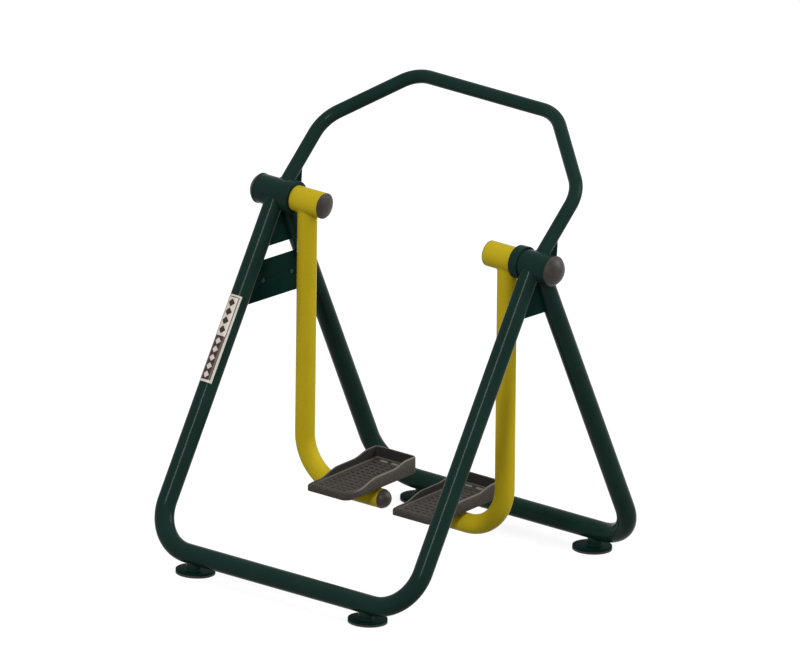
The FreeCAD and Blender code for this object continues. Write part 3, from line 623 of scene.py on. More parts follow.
def dome_profile(mouth, tip, radius, bore_r, rim):
    """A cap as (x, r) points from the middle of its dome's inside to the middle of its outside. The
    dome is part of a sphere: r = sphere * sin a and x = centre + sphere * cos a."""
    way = 1.0 if tip > mouth else -1.0

    def dome(base, height):
        sphere = (base ** 2 + height ** 2) / (2 * height)
        angle = np.linspace(0.0, math.asin(base / sphere), DOME_STEPS)
        return np.stack([mouth + way * (rim + height - sphere + sphere * np.cos(angle)),
                         np.maximum(sphere * np.sin(angle), POLE_R)], -1)

    height = abs(tip - mouth) - rim
    inside = dome(bore_r - CAP_WALL, height - CAP_WALL)
    outside = dome(radius - EDGE_R, height)[::-1]
    wall = [(mouth - way * CAP_SPIGOT, bore_r - CAP_WALL), (mouth - way * CAP_SPIGOT, bore_r),
            (mouth, bore_r), (mouth, radius - EDGE_R / 2), (mouth + way * EDGE_R / 2, radius),
            (mouth + way * (rim - EDGE_R / 2), radius)]
    return np.concatenate([inside, np.array(wall), outside])


def make_cap(name, node, mouth, bore_r, rim, body, shift=None):
    """A cap in the place of its node. Shift moves it off the swing axis before the arm's lean."""
    low, high, radius = span(node)
    tip = low if abs(low - mouth) > abs(high - mouth) else high
    rows = turned_on_x(dome_profile(mouth, tip, radius, bore_r, rim))
    if shift is not None:
        rows = swung(rows + shift)
    return fit(into_scene(name, rows), body, cap_plastic, "black_plastic", node)


HUB_CAP_RIM = 0.005
SLEEVE_CAP_RIM = 0.002
ARM_CAP_RIM = 0.003
ARM_BORE_R = 0.027
for hand, side in SIDES.items():
    low, high, radius = span(hand + "_hub_housing")
    make_cap(hand + "_hub_dome", hand + "_hub_cap", high if side > 0 else low, radius - HUB_WALL,
             HUB_CAP_RIM, "frame")
    low, high, radius = span(hand + "_arm_sleeve")
    make_cap(hand + "_sleeve_dome", hand + "_sleeve_cap", low if side > 0 else high, radius - HUB_WALL,
             SLEEVE_CAP_RIM, hand + "_arm")
    make_cap(hand + "_arm_dome", hand + "_arm_end_cap", side * ARM_END_X, ARM_BORE_R, ARM_CAP_RIM,
             hand + "_arm", np.array([0.0, 0.0, -ARM_DROP]))

# %% [markdown]
# ## Feet
# Each foot is a steel disc on a thin rubber pad. Both are turned about an upright axis, with a small
# rounding at the rim, since the paint is thick there and the rubber is moulded.

# %% Foot discs and pads
FOOT_STEPS = 96
DISC_TOP_EASE = 0.0015
DISC_LOW_EASE = 0.001
SOLE_TOP_EASE = 0.0008
SOLE_LOW_EASE = 0.0015


def upright(profile, centre):
    """A closed profile of (r, z) points turned about an upright line: (x, y) = centre + r * (cos a,
    sin a)."""
    angle = np.linspace(0.0, 2 * math.pi, FOOT_STEPS, endpoint=False)[None, :]
    r, z = profile[:, :1], profile[:, 1:]
    return np.stack([centre[0] + r * np.cos(angle), centre[1] + r * np.sin(angle),
                     np.broadcast_to(z, (len(z), FOOT_STEPS))], -1)


def make_disc(name, node, material, slot, top_edge, low_edge):
    """A solid disc in the place of its node, with its two rims rounded. The profile starts and ends
    amid its two tiny corners on the axis."""
    low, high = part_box(node)
    radius = (high.x - low.x) / 2
    centre = ((low.x + high.x) / 2, (low.y + high.y) / 2)
    corners = [(POLE_R, low.z), (radius, low.z), (radius, high.z), (POLE_R, high.z)]
    profile = rounded(corners, [POLE_R / 9, low_edge, top_edge, POLE_R / 9])
    middle = len(profile) // 4
    return fit(into_scene(name, upright(profile[middle // 2:-middle // 2], centre)), "frame", material,
               slot, node)


# The foot discs take the darker green, which is painted shade.
for end in ("rear", "front"):
    for hand in SIDES:
        make_disc(f"{end}_{hand}_foot_disc", f"{end}_{hand}_foot_flange", shaded_plate_paint, "green_paint",
                  DISC_TOP_EASE, DISC_LOW_EASE)
        make_disc(f"{end}_{hand}_foot_sole", f"{end}_{hand}_foot_pad", foot_rubber, "pad_rubber",
                  SOLE_TOP_EASE, SOLE_LOW_EASE)

# %% [markdown]
# ## Plates and small steel
# Cut plates, brackets and small screws keep the frame's own faces: they are flat, so there is nothing
# to work out anew. A live bevel would need clean faces, and the frame's are loose triangles. So a copy
# is merged first, and its edges are eased by a few tenths of a millimetre, as tumbling and paint leave
# them.

# %% Eased copies
PLATE_EASE = 0.0006
STUB_EASE = 0.0005
SAME_POINT = 1e-6
FLAT_ANGLE = math.radians(1.0)
CRISP_ANGLE = math.radians(30.0)
SMOOTH_ANGLE = math.radians(35.0)


def eased(name, node, width, body, material, slot):
    """A copy of a node's mesh with its sharp edges rounded."""
    shell = bmesh.new()
    shell.from_mesh(nodes[node].data)
    bmesh.ops.remove_doubles(shell, verts=shell.verts, dist=SAME_POINT)
    bmesh.ops.dissolve_limit(shell, angle_limit=FLAT_ANGLE, verts=shell.verts, edges=shell.edges)
    crisp = [edge for edge in shell.edges
             if len(edge.link_faces) == 2 and edge.calc_face_angle(0.0) > CRISP_ANGLE]
    bmesh.ops.bevel(shell, geom=crisp, offset=width, segments=2, profile=0.5, affect="EDGES",
                    clamp_overlap=True)
    bmesh.ops.recalc_face_normals(shell, faces=shell.faces)
    mesh = bpy.data.meshes.new(name)
    shell.to_mesh(mesh)
    shell.free()
    mesh.polygons.foreach_set("use_smooth", np.ones(len(mesh.polygons), bool))
    mesh.set_sharp_from_angle(angle=SMOOTH_ANGLE)
    piece = bpy.data.objects.new(name, mesh)
    bpy.context.scene.collection.objects.link(piece)
    return fit(piece, body, material, slot, node)


# The webs and the sign plate take the darker green, which is painted shade.
for hand in SIDES:
    eased(f"{hand}_handlebar_web", f"{hand}_handlebar_gusset", PLATE_EASE, "frame", shaded_plate_paint,
          "green_paint")
    eased(f"{hand}_leg_web", f"{hand}_leg_gusset", PLATE_EASE, "frame", shaded_plate_paint, "green_paint")
    eased(f"{hand}_pedal_seat", f"{hand}_pedal_bracket", PLATE_EASE, f"{hand}_arm", yellow_paint,
          "yellow_paint")
eased("bare_sign_plate", "sign_plate", PLATE_EASE, "frame", shaded_plate_paint, "green_paint")

# %% [markdown]
# ## Weld beads
# A bead runs round each joint between a tube and a hub. It could be painted on as a bump, but a joint
# is seen against the light, where only a real shape shows. So it is a thin tube that follows the cut
# ring of the big one, and its radius rises and falls a little, because a welder lays it in pushes.

# %% Beads
BEAD_R = 0.0022
BEAD_RIPPLE = 0.00025
BEAD_PUSHES = 70
BEAD_STEPS = 420
BEAD_SIDES = 10
BEAD_SHARP = 60.0


def bead(name, ring, body, material, slot):
    """A bead along a closed ring of points. The ring is first walked at even steps. The bead's radius
    at step s is r + ripple * |sin(pushes * s / 2)|."""
    closed = np.concatenate([ring, ring[:1]])
    walked = np.concatenate([[0.0], np.cumsum(np.linalg.norm(np.diff(closed, axis=0), axis=1))])
    even = np.linspace(0.0, walked[-1], BEAD_STEPS, endpoint=False)
    line = np.stack([np.interp(even, walked, closed[:, axis]) for axis in range(3)], -1)
    way = unit(np.roll(line, -1, 0) - np.roll(line, 1, 0))
    out = unit(line - line.mean(0))
    out = unit(out - (out * way).sum(-1, keepdims=True) * way)
    side = np.cross(way, out)
    turn = np.linspace(0.0, 2 * math.pi, BEAD_STEPS, endpoint=False)
    radius = BEAD_R + BEAD_RIPPLE * np.abs(np.sin(BEAD_PUSHES * turn / 2))[:, None, None]
    angle = np.linspace(0.0, 2 * math.pi, BEAD_SIDES, endpoint=False)[None, :, None]
    rows = line[:, None] + radius * (np.cos(angle) * out[:, None] + np.sin(angle) * side[:, None])
    return fit(into_scene(name, rows, loop=True, sharp=BEAD_SHARP), body, material, slot)


for side, name in ((-1, "rear"), (1, "front")):
    for ring, hand in zip(leg_rings[side], SIDES):
        bead(f"{name}_{hand}_leg_bead", ring, "frame", green_paint, "green_paint")
for ring, hand in zip((bar_rows[-1], bar_rows[0]), SIDES):
    bead(f"{hand}_handlebar_bead", ring, "frame", green_paint, "green_paint")
for hand in SIDES:
    bead(f"{hand}_arm_bead", arm_rings[hand], f"{hand}_arm", yellow_paint, "yellow_paint")

# %% [markdown]
# ## Pedals
# Each pedal is one moulding: a tray whose rim is low at the heel and rises in two easy waves to the
# toe. A box with its edges bevelled and its inside cut away would have one rounding for all edges, and
# here the heel is rolled over more than the sides. So the tray is built from closed outlines. Each is
# the plan shape drawn in by a distance that may differ from point to point, at a height that follows
# the rim or the floor.

# %% The plan outline and the rim line
pedal_boxes = {hand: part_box(f"{hand}_pedal") for hand in SIDES}
PEDAL_X = {hand: (low.x + high.x) / 2 for hand, (low, high) in pedal_boxes.items()}
PEDAL_HALF = (pedal_boxes["left"][1].x - pedal_boxes["left"][0].x) / 2
HEEL_Y, TOE_Y = -0.173, 0.155
PEDAL_TILT = math.radians(1.3)
PEDAL_DROP = 0.831
RIM_STATIONS = np.array([-0.118, -0.032, 0.042, 0.112])
RIM_HEIGHTS = np.array([0.022, 0.040, 0.052])
ROUND_CORNER_R = 0.028
CORNER_RADII = np.array([ROUND_CORNER_R, 0.014, 0.014, 0.008])
WALL = 0.0058
FLOOR_TOP = 0.017
HEEL_FLAT_Y = -0.112
HEEL_RAMP = 0.05
HEEL_DIP = 0.0006
CORNER_SIGNS = np.array([(1, -1), (1, 1), (-1, 1), (-1, -1)], float)
SIDE_POINTS = (72, 30)
CORNER_POINTS = 14
TIGHTEST_CORNER = 0.0012


def wave(share):
    """Zero to one with level ends: 3 s^2 - 2 s^3."""
    share = np.clip(share, 0.0, 1.0)
    return share * share * (3 - 2 * share)


def rim_height(y):
    """The rim's height: level, a wave up, level, a wave up, level."""
    first = wave((y - RIM_STATIONS[0]) / (RIM_STATIONS[1] - RIM_STATIONS[0]))
    second = wave((y - RIM_STATIONS[2]) / (RIM_STATIONS[3] - RIM_STATIONS[2]))
    low, middle, high = RIM_HEIGHTS
    return low + (middle - low) * first + (high - middle) * second


def floor_height(y):
    """The floor: level, with an easy ramp up to the heel edge."""
    ramp = wave((HEEL_FLAT_Y - y) / HEEL_RAMP)
    return FLOOR_TOP + (RIM_HEIGHTS[0] - HEEL_DIP - FLOOR_TOP) * ramp


def plan_points():
    """For each outline point: its corner's number, its share of that corner's quarter turn, and its
    share of the straight side that follows."""
    quarter = np.linspace(0.0, 1.0, CORNER_POINTS)
    parts = []
    for corner in range(len(CORNER_SIGNS)):
        straight = np.linspace(0.0, 1.0, SIDE_POINTS[corner % 2] + 2)[1:-1]
        turn_share = np.concatenate([quarter, np.ones(len(straight))])
        side_share = np.concatenate([np.zeros(len(quarter)), straight])
        parts.append(np.stack([np.full(len(turn_share), corner), turn_share, side_share], -1))
    return np.concatenate(parts)


plan = plan_points()
which = plan[:, 0].astype(int)


def corner_point(index, share, inset, radius):
    """A point on a rounded corner drawn in by an inset: the corner's centre stays where it is until
    its radius is used up, and the angle runs through a quarter turn."""
    left = np.maximum(radius - inset, TIGHTEST_CORNER)
    signs = CORNER_SIGNS[index]
    corner = np.stack([signs[:, 0] * PEDAL_HALF, np.where(signs[:, 1] < 0, HEEL_Y, TOE_Y)], -1)
    centre = corner - signs * (inset + left)[:, None]
    angle = (index - 1 + share) * math.pi / 2
    return centre + left[:, None] * np.stack([np.cos(angle), np.sin(angle)], -1)


def outline(inset):
    """The plan outline drawn in by an inset for each point, or one for all."""
    inset = np.broadcast_to(np.asarray(inset, float), which.shape)
    here = corner_point(which, plan[:, 1], inset, CORNER_RADII[which])
    beyond = (which + 1) % len(CORNER_SIGNS)
    after = corner_point(beyond, np.zeros(len(which)), inset, CORNER_RADII[beyond])
    share = plan[:, 2:]
    return here * (1 - share) + after * share


outer = outline(0.0)
print("outline points", len(outer), "from", outer.min(0).round(4), "to", outer.max(0).round(4))

# %% [markdown]
# The tray's surface is a stack of those outlines, in the order in which a finger would follow it: from
# the ceiling of the hollow underside down the skirt, round its low edge, up the outer wall, over the
# rim and down to the floor. Rows lie close together where the surface turns and far apart where it is
# straight.

# %% The tray
SKIRT_WALL = 0.005
POCKET_TOP = 0.011
POCKET_ROUND = 0.0015
LOW_EDGE = 0.0012
WALL_SHARES = (0.35, 0.7)
RIM_R = 0.0029
OUTER_RIM_R = 0.0044
HEEL_ROUND = 0.0085
HEEL_REACH = 0.030
FOOT_FILLET = 0.0035
ROLL_SHARE = 0.6
FILLET_SHARE = 0.4
FLOOR_LEDGE = 0.0012
BED_DEPTH = 0.0038
ROUND_STEPS = 9


def level(inset, height):
    """One closed row of tray points."""
    flat = outline(inset)
    return np.concatenate([flat, np.broadcast_to(height, len(flat))[:, None]], -1)


def tray_rows():
    """Rows from the pocket's ceiling round the skirt, up the outer wall, over the rim and down to the
    floor, and the number of the rim's first row. Over the rim the inset is R - R cos a and the height
    is rim - R + R sin a, and at the heel the radius R grows until the edge is a broad roll."""
    y = outer[:, 1]
    rim = rim_height(y)
    roll = OUTER_RIM_R + (HEEL_ROUND - OUTER_RIM_R) * wave((HEEL_Y + HEEL_REACH - y) / HEEL_REACH)
    quarter = np.linspace(0.0, math.pi / 2, ROUND_STEPS)
    rows = [level(SKIRT_WALL + POCKET_ROUND, POCKET_TOP), level(SKIRT_WALL, POCKET_TOP - POCKET_ROUND),
            level(SKIRT_WALL, LOW_EDGE / 2), level(SKIRT_WALL - LOW_EDGE / 2, 0.0), level(LOW_EDGE, 0.0),
            level(LOW_EDGE / 3, LOW_EDGE / 3), level(0.0, LOW_EDGE)]
    rows += [level(0.0, LOW_EDGE + share * (rim - roll - LOW_EDGE)) for share in WALL_SHARES]
    rim_start = len(rows)
    rows += [level(roll * (1 - math.cos(a)), rim - roll + roll * math.sin(a)) for a in quarter]
    brow = np.maximum(WALL - RIM_R, roll)
    foot = floor_height(y)
    fall = np.maximum(rim - foot, 0.0)
    drop = np.minimum(RIM_R, fall * ROLL_SHARE)
    rows += [level(brow + drop * math.sin(a), rim - drop * (1 - math.cos(a))) for a in quarter[1:]]
    fillet = np.minimum(FOOT_FILLET, fall * FILLET_SHARE)
    wall_in = brow + drop
    rows += [level(wall_in + fillet * (1 - math.cos(a)), foot + fillet * (1 - math.sin(a)))
             for a in quarter]
    ledge = wall_in + fillet + FLOOR_LEDGE
    rows += [level(ledge, foot), level(ledge + FLOOR_LEDGE / 2, foot - BED_DEPTH)]
    return np.array(rows), rim_start


tray, rim_start = tray_rows()
print("tray rows", len(tray), "of which the rim starts at", rim_start)

# %% [markdown]
# The plastic is grey-brown, mottled where the sun has bleached it. It is painted darker in the hollows,
# as painted shade, and paler where shoes rub it, which is partly wear and partly painted highlight.
# Shade and wear could be worked out from how sharply the surface bends, but only in one render engine.
# So each tray point keeps two numbers, its painted shade and its wear with painted highlight, and the
# material reads them.

# %% Pedal finish
# Painted shade: the dark colour that the tray's inner walls and the tread's slots are mixed towards.
PAINTED_SHADE_COLOUR = tint(24, 24, 24)
# Wear and painted highlight: the pale colour of the rim, the wall's foot, the tread's border and the lugs.
WEAR_AND_HIGHLIGHT_COLOUR = tint(118, 114, 107)


def read_mark(tree, name):
    """A number kept on the mesh at each point."""
    return add(tree, "ShaderNodeAttribute", attribute_name=name).outputs["Fac"]


def pedal_finish():
    """The coat skin gives the grain and the mottling. The colour moves to dark by a point's painted
    shade, and then to pale by its wear and painted highlight."""
    made = coated("moulded_pedal_plastic", tint(71, 67, 61), tint(48, 45, 42), patch=240.0, grain=1000.0,
                  depth=0.35 * MILLIMETRE, rough=(0.5, 0.62), specular=0.10)
    tree = made.node_tree
    shader = next(node for node in tree.nodes if node.type == "BSDF_PRINCIPLED")
    skin = shader.inputs["Base Color"].links[0].from_socket
    sunk = add(tree, "ShaderNodeMix", {"Factor": read_mark(tree, "painted_shade"), "A": skin,
                                       "B": PAINTED_SHADE_COLOUR}, data_type="RGBA")
    wear_and_highlight = add(tree, "ShaderNodeMix", {"Factor": read_mark(tree, "wear_and_highlight"),
                                         "A": sunk.outputs["Result"], "B": WEAR_AND_HIGHLIGHT_COLOUR},
                 data_type="RGBA")
    tree.links.new(wear_and_highlight.outputs["Result"], shader.inputs["Base Color"])
    return made


pedal_plastic = pedal_finish()
print("pedal finish has", len(pedal_plastic.node_tree.nodes), "nodes")

# %% Placing and joining
def on_arm(points, hand):
    """Pedal points in the scene: tilted toe up, put over the arm tube's lower run, then swung."""
    cosine, sine = math.cos(PEDAL_TILT), math.sin(PEDAL_TILT)
    tilted = np.stack([points[..., 0], points[..., 1] * cosine - points[..., 2] * sine,
                       points[..., 1] * sine + points[..., 2] * cosine], -1)
    return swung(tilted + HUB + np.array([PEDAL_X[hand], 0.0, -PEDAL_DROP]))


def keep_mark(piece, name, values):
    """Keeps one number for each point of a mesh."""
    kept = piece.data.attributes.new(name, "FLOAT", "POINT")
    kept.data.foreach_set("value", np.asarray(values, np.float32).ravel())


def joined(name, parts):
    """One mesh of several closed ones. The parts are removed."""
    shell = bmesh.new()
    for part in parts:
        shell.from_mesh(part.data)
    mesh = bpy.data.meshes.new(name)
    shell.to_mesh(mesh)
    shell.free()
    for part in parts:
        bpy.data.objects.remove(part)
    piece = bpy.data.objects.new(name, mesh)
    bpy.context.scene.collection.objects.link(piece)
    return piece


print("pedals at x", {hand: round(x, 4) for hand, x in PEDAL_X.items()})

# %% [markdown]
# A thin tray would bend under a person, so its hollow underside has a grid of ribs, and round bosses
# where the screws go in. They show when the arms swing up. Each is a small closed form whose top is
# sunk a little in the ceiling, and all of them are joined to the tray as one moulding.

# %% Ribs under the tray
RIB_T = 0.004
RIB_PITCH = (0.038, 0.058)
RIBS_ALONG = (-1, 0, 1)
RIBS_ACROSS = (-2, -1, 0, 1, 2)
RIB_EDGE = 0.0008
RIB_SINK = 0.0005
NO_ROUNDING = 0.00005
BOSS_R = 0.009
BOSS_FOOT = 0.0003
SCREW_PITCH = (0.076, 0.092)


def rib(name, start, end, width, hand):
    """One rib: a bar with rounded lower edges, from start to end, hanging from the pocket's ceiling."""
    way = unit(np.array(end) - np.array(start))
    side = np.array([-way[1], way[0], 0.0]) * width / 2
    section = rounded([(-1.0, POCKET_TOP + RIB_SINK), (-1.0, RIB_EDGE / 2), (1.0, RIB_EDGE / 2),
                       (1.0, POCKET_TOP + RIB_SINK)], [NO_ROUNDING, RIB_EDGE, RIB_EDGE, NO_ROUNDING])
    across = np.clip(section[:, :1], -1.0, 1.0) * side
    line = across + np.array([0.0, 0.0, 1.0]) * section[:, 1:]
    rows = np.array([line + np.array(start), line + np.array(end)])
    return into_scene(name, on_arm(rows, hand))


def boss(name, x, y, hand):
    """A round screw boss between the pocket's ceiling and the tray's foot."""
    profile = rounded([(POLE_R, BOSS_FOOT), (BOSS_R, BOSS_FOOT), (BOSS_R, POCKET_TOP + RIB_SINK),
                       (POLE_R, POCKET_TOP + RIB_SINK)], [POLE_R / 9, RIB_EDGE, POLE_R, POLE_R / 9])
    middle = EDGE_STEPS // 2
    return into_scene(name, on_arm(upright(profile[middle:-middle], (x, y)), hand))


def underside(hand):
    """All ribs and bosses of one pedal."""
    half, heel, toe = PEDAL_HALF - SKIRT_WALL, HEEL_Y + SKIRT_WALL, TOE_Y - SKIRT_WALL
    made = []
    for step in RIBS_ALONG:
        x = step * RIB_PITCH[0]
        made.append(rib("rib", (x, heel, 0.0), (x, toe, 0.0), RIB_T, hand))
    for step in RIBS_ACROSS:
        y = step * RIB_PITCH[1]
        made.append(rib("rib", (-half, y, 0.0), (half, y, 0.0), RIB_T, hand))
    for x in (-SCREW_PITCH[0] / 2, SCREW_PITCH[0] / 2):
        for y in (-SCREW_PITCH[1] / 2, SCREW_PITCH[1] / 2):
            made.append(boss("boss", x, y, hand))
    return made


print("ribs under each pedal:", len(RIBS_ALONG) + len(RIBS_ACROSS))

# %% [markdown]
# Shoes rub the rim over its top and the foot of the wall beside the floor, and these pale bands are
# painted highlight as well as wear. The pale bands are two bells over the row number, and both fade out
# towards the heel. The inner wall is painted darker below its rim, as painted shade, and the more so the
# higher the wall is.

# %% Pedal trays
RIM_RUB_AND_HIGHLIGHT = 0.8
RIM_RUB_AND_HIGHLIGHT_AT = 0.6
RIM_RUB_AND_HIGHLIGHT_ROWS = 4.5
FOOT_RUB_AND_HIGHLIGHT = 0.5
FOOT_RUB_AND_HIGHLIGHT_AFTER = 4
FOOT_RUB_AND_HIGHLIGHT_ROWS = 2.5
RUB_AND_HIGHLIGHT_START_Y = -0.150
RUB_AND_HIGHLIGHT_FADE = 0.05
TRAY_SHARP = 50.0
WALL_SHADE = 0.68
SHADE_AFTER = 3
SHADE_ROWS = 5.0
SHADE_RISE = 0.02

row = np.arange(len(tray))
tray_y = tray[0, :, 1]
# Wear and painted highlight: pale bands over the rim's top and along the wall's foot.
rim_bell = np.exp(-((row - (rim_start + RIM_RUB_AND_HIGHLIGHT_AT * ROUND_STEPS)) / RIM_RUB_AND_HIGHLIGHT_ROWS) ** 2)
foot_bell = np.exp(-((row - (rim_start + 2 * ROUND_STEPS + FOOT_RUB_AND_HIGHLIGHT_AFTER)) / FOOT_RUB_AND_HIGHLIGHT_ROWS) ** 2)
rub_and_highlight = (RIM_RUB_AND_HIGHLIGHT * rim_bell + FOOT_RUB_AND_HIGHLIGHT * foot_bell)[:, None] * wave((tray_y - RUB_AND_HIGHLIGHT_START_Y) / RUB_AND_HIGHLIGHT_FADE)[None, :]
# Painted shade: the inner wall below the rim is darker, the more so the higher the wall.
past_rim = wave((row - (rim_start + ROUND_STEPS + SHADE_AFTER)) / SHADE_ROWS)[:, None]
shade = WALL_SHADE * past_rim * wave((rim_height(tray_y) - FLOOR_TOP) / SHADE_RISE)[None, :]
for hand in SIDES:
    shell_piece = into_scene(f"{hand}_tray_shell", on_arm(tray, hand), sharp=TRAY_SHARP)
    keep_mark(shell_piece, "wear_and_highlight", rub_and_highlight)
    keep_mark(shell_piece, "painted_shade", shade)
    tray_piece = joined(f"{hand}_pedal_tray", [shell_piece] + underside(hand))
    fit(tray_piece, f"{hand}_arm", pedal_plastic, "pedal_plastic", f"{hand}_pedal")

# %% [markdown]
# The tray's floor is a grip pattern: rows of short slots between low cross bars. Cutting dozens of
# slots out of a solid would leave hard edges, and a bump map would stay flat against the light. So the
# floor is one sheet of points about a millimetre apart. Its height is the floor, plus a bar wherever a
# row ends, less a slot with a soft edge, and a small bead runs along its border.

# %% Tread
GRIP_PITCH = (0.0222, 0.0206)
GRIP_SLOT = (0.0078, 0.0030)
GRIP_SLOT_EDGE = 0.0009
GRIP_DEPTH = 0.0030
GRIP_BAR = 0.0009
GRIP_BAR_HALF = 0.0048
GRIP_BAR_SLOPE = 0.0022
GRIP_BAR_PAST = 0.001
GRIP_BAR_START = 0.002
GRIP_LIFT = 0.0004
GRIP_ENDS = (-0.1655, 0.1440)
GRIP_INSET = 0.0098
GRIP_HALF = PEDAL_HALF - GRIP_INSET
SLOT_ENDS = (-0.1550, 0.1128)
SLOT_HALF = 0.0555
BORDER_BEAD = 0.0013
BORDER_WIDTH = 0.0022
BORDER_START_Y = -0.150
BORDER_FADE = 0.03
TREAD_T = 0.004
GRIP_STEPS = (330, 150)
NEARLY_NOTHING = 1e-8
TREAD_SHARP = 70.0
SLOT_SHADE = 0.95
BORDER_RUB_AND_HIGHLIGHT = 0.5


def grip_height(x, y):
    """Height of the tread above the floor, and how deep in a slot each point lies, 0 to 1."""
    from_start = y - SLOT_ENDS[0]
    cell_x = np.mod(x + SLOT_HALF, GRIP_PITCH[0]) - GRIP_PITCH[0] / 2
    cell_y = np.mod(from_start, GRIP_PITCH[1]) - GRIP_PITCH[1] / 2
    away_x = np.abs(cell_x) - GRIP_SLOT[0]
    away_y = np.abs(cell_y) - GRIP_SLOT[1]
    edge = GRIP_SLOT_EDGE
    outside = np.hypot(np.maximum(away_x + edge, 0), np.maximum(away_y + edge, 0)) - edge
    sunk = wave(0.5 - outside / edge)
    inside = (np.abs(x) < SLOT_HALF) & (from_start > 0) & (y < SLOT_ENDS[1])
    sunk = np.where(inside, sunk, 0.0)
    bar = wave((np.abs(cell_y) - GRIP_PITCH[1] / 2 + GRIP_BAR_HALF) / GRIP_BAR_SLOPE)
    between_ends = (from_start > GRIP_BAR_START) & (y < SLOT_ENDS[1])
    bar = np.where((np.abs(x) < SLOT_HALF + GRIP_BAR_PAST) & between_ends, bar, 0.0)
    return GRIP_BAR * bar - GRIP_DEPTH * sunk, sunk


def tread_rows():
    """Closed rows: the top from left to right, then back along the underside."""
    y = np.linspace(*GRIP_ENDS, GRIP_STEPS[0])[:, None]
    share = np.linspace(-1.0, 1.0, GRIP_STEPS[1])[None, :]
    turn_r = ROUND_CORNER_R - (PEDAL_HALF - GRIP_HALF)
    past = np.maximum(HEEL_Y + ROUND_CORNER_R - y, 0.0)
    right_edge = GRIP_HALF - turn_r + np.sqrt(np.maximum(turn_r ** 2 - past ** 2, NEARLY_NOTHING))
    x = np.where(share > 0, share * right_edge, share * GRIP_HALF)
    y = np.broadcast_to(y, x.shape)
    lift, sunk = grip_height(x, y)
    edge = np.minimum(np.abs(np.abs(x) - np.where(x > 0, right_edge, GRIP_HALF)), GRIP_ENDS[1] - y)
    border = BORDER_BEAD * np.exp(-((edge - BORDER_WIDTH) / (BORDER_WIDTH / 2)) ** 2)
    border = border * wave((y - BORDER_START_Y) / BORDER_FADE)
    top = floor_height(y) + GRIP_LIFT + lift + border
    under = floor_height(y[:, [-1, 0]]) - TREAD_T
    rows = np.stack([np.concatenate([x, x[:, [-1, 0]]], 1), np.concatenate([y, y[:, [-1, 0]]], 1),
                     np.concatenate([top, under], 1)], -1)
    blank = np.zeros((len(rows), 2))
    return rows, np.concatenate([sunk, blank], 1), np.concatenate([border / BORDER_BEAD, blank], 1)


tread, tread_sunk, tread_border = tread_rows()
for hand in SIDES:
    tread_piece = into_scene(f"{hand}_pedal_tread", on_arm(tread, hand), sharp=TREAD_SHARP)
    # Painted shade in the slots.
    keep_mark(tread_piece, "painted_shade", SLOT_SHADE * tread_sunk)
    # Wear and painted highlight along the border bead.
    keep_mark(tread_piece, "wear_and_highlight", BORDER_RUB_AND_HIGHLIGHT * tread_border)
    fit(tread_piece, f"{hand}_arm", pedal_plastic, "pedal_plastic")

# %% [markdown]
# Past the last row of slots, two low lugs stand at the toe. Each is a pillow: an outline with full
# corners that shrinks as it rises. A squashed ball would be too round for them.

# %% Toe lugs
LUG_X = (-0.026, 0.017)
LUG_Y = 0.1245
LUG_HALF = (0.0145, 0.0042)
LUG_HEIGHT = 0.0044
LUG_FULLNESS = 0.55
LUG_SHRINK = 0.55
LUG_TOP_GAP = 0.06
LUG_STEPS = (12, 48)
LUG_RUB_AND_HIGHLIGHT = 1.0


def lug_rows(middle):
    """Outlines that shrink as they rise. At an angle a round the lug and a climb c, the outline is
    half size * |cos a| ^ f and |sin a| ^ f, with their signs, and the height is H sin c."""
    climb = np.linspace(0.0, math.pi / 2 - LUG_TOP_GAP, LUG_STEPS[0])[:, None]
    angle = np.linspace(0.0, 2 * math.pi, LUG_STEPS[1], endpoint=False)[None, :]
    wide = np.sign(np.cos(angle)) * np.abs(np.cos(angle)) ** LUG_FULLNESS
    deep = np.sign(np.sin(angle)) * np.abs(np.sin(angle)) ** LUG_FULLNESS
    shrink = 1 - LUG_SHRINK * (1 - np.cos(climb))
    x = middle + LUG_HALF[0] * wide * (1 - LUG_HALF[1] / LUG_HALF[0] * (1 - shrink))
    y = LUG_Y + LUG_HALF[1] * deep * shrink
    z = FLOOR_TOP + GRIP_LIFT / 2 + LUG_HEIGHT * np.sin(climb)
    return np.stack(np.broadcast_arrays(x, y, z), -1)


for hand in SIDES:
    lugs = []
    for middle in LUG_X:
        one = into_scene("lug", on_arm(lug_rows(middle), hand))
        # The lugs are pale all over: wear and painted highlight.
        keep_mark(one, "wear_and_highlight", np.full(len(one.data.vertices), LUG_RUB_AND_HIGHLIGHT))
        lugs.append(one)
    fit(joined(f"{hand}_pedal_toe_lugs", lugs), f"{hand}_arm", pedal_plastic, "pedal_plastic")

# %% [markdown]
# ## Label
# A thin strip is wrapped on the outer side of the left rear leg. Its print is generic: a pale field
# and a dark field, each with a row of plain diamonds, inside a pale margin. An image would blur close
# by. So each point keeps its place on the strip in millimetres, across and along, and the material
# works out the print from the two.

# %% Label print
LABEL_START = 0.357
LABEL_LENGTH = 0.276
LABEL_GAP = 0.00005
LABEL_T = 0.0006
LABEL_WRAP = math.radians(100.0)
LABEL_TOP_SHARE = 0.47
LINE_IN = 6.5
LINE_T = 2.6
BLOCK_IN = 7.5
LINE_TOP = 5.5
DARK_DIAMOND = (12.0, 13.0)
DARK_START = 11.0
DARK_PITCH = 28.5
DARK_COUNT = 4
PALE_DIAMOND = (10.0, 11.0)
PALE_START = 4.0
PALE_PITCH = 26.5
PALE_COUNT = 5
INK_COLOUR = tint(58, 42, 38)


def between(tree, value, low, high):
    """One where a value lies between two limits."""
    above, below = calc(tree, "GREATER_THAN", value, low), calc(tree, "LESS_THAN", value, high)
    return calc(tree, "MULTIPLY", above, below)


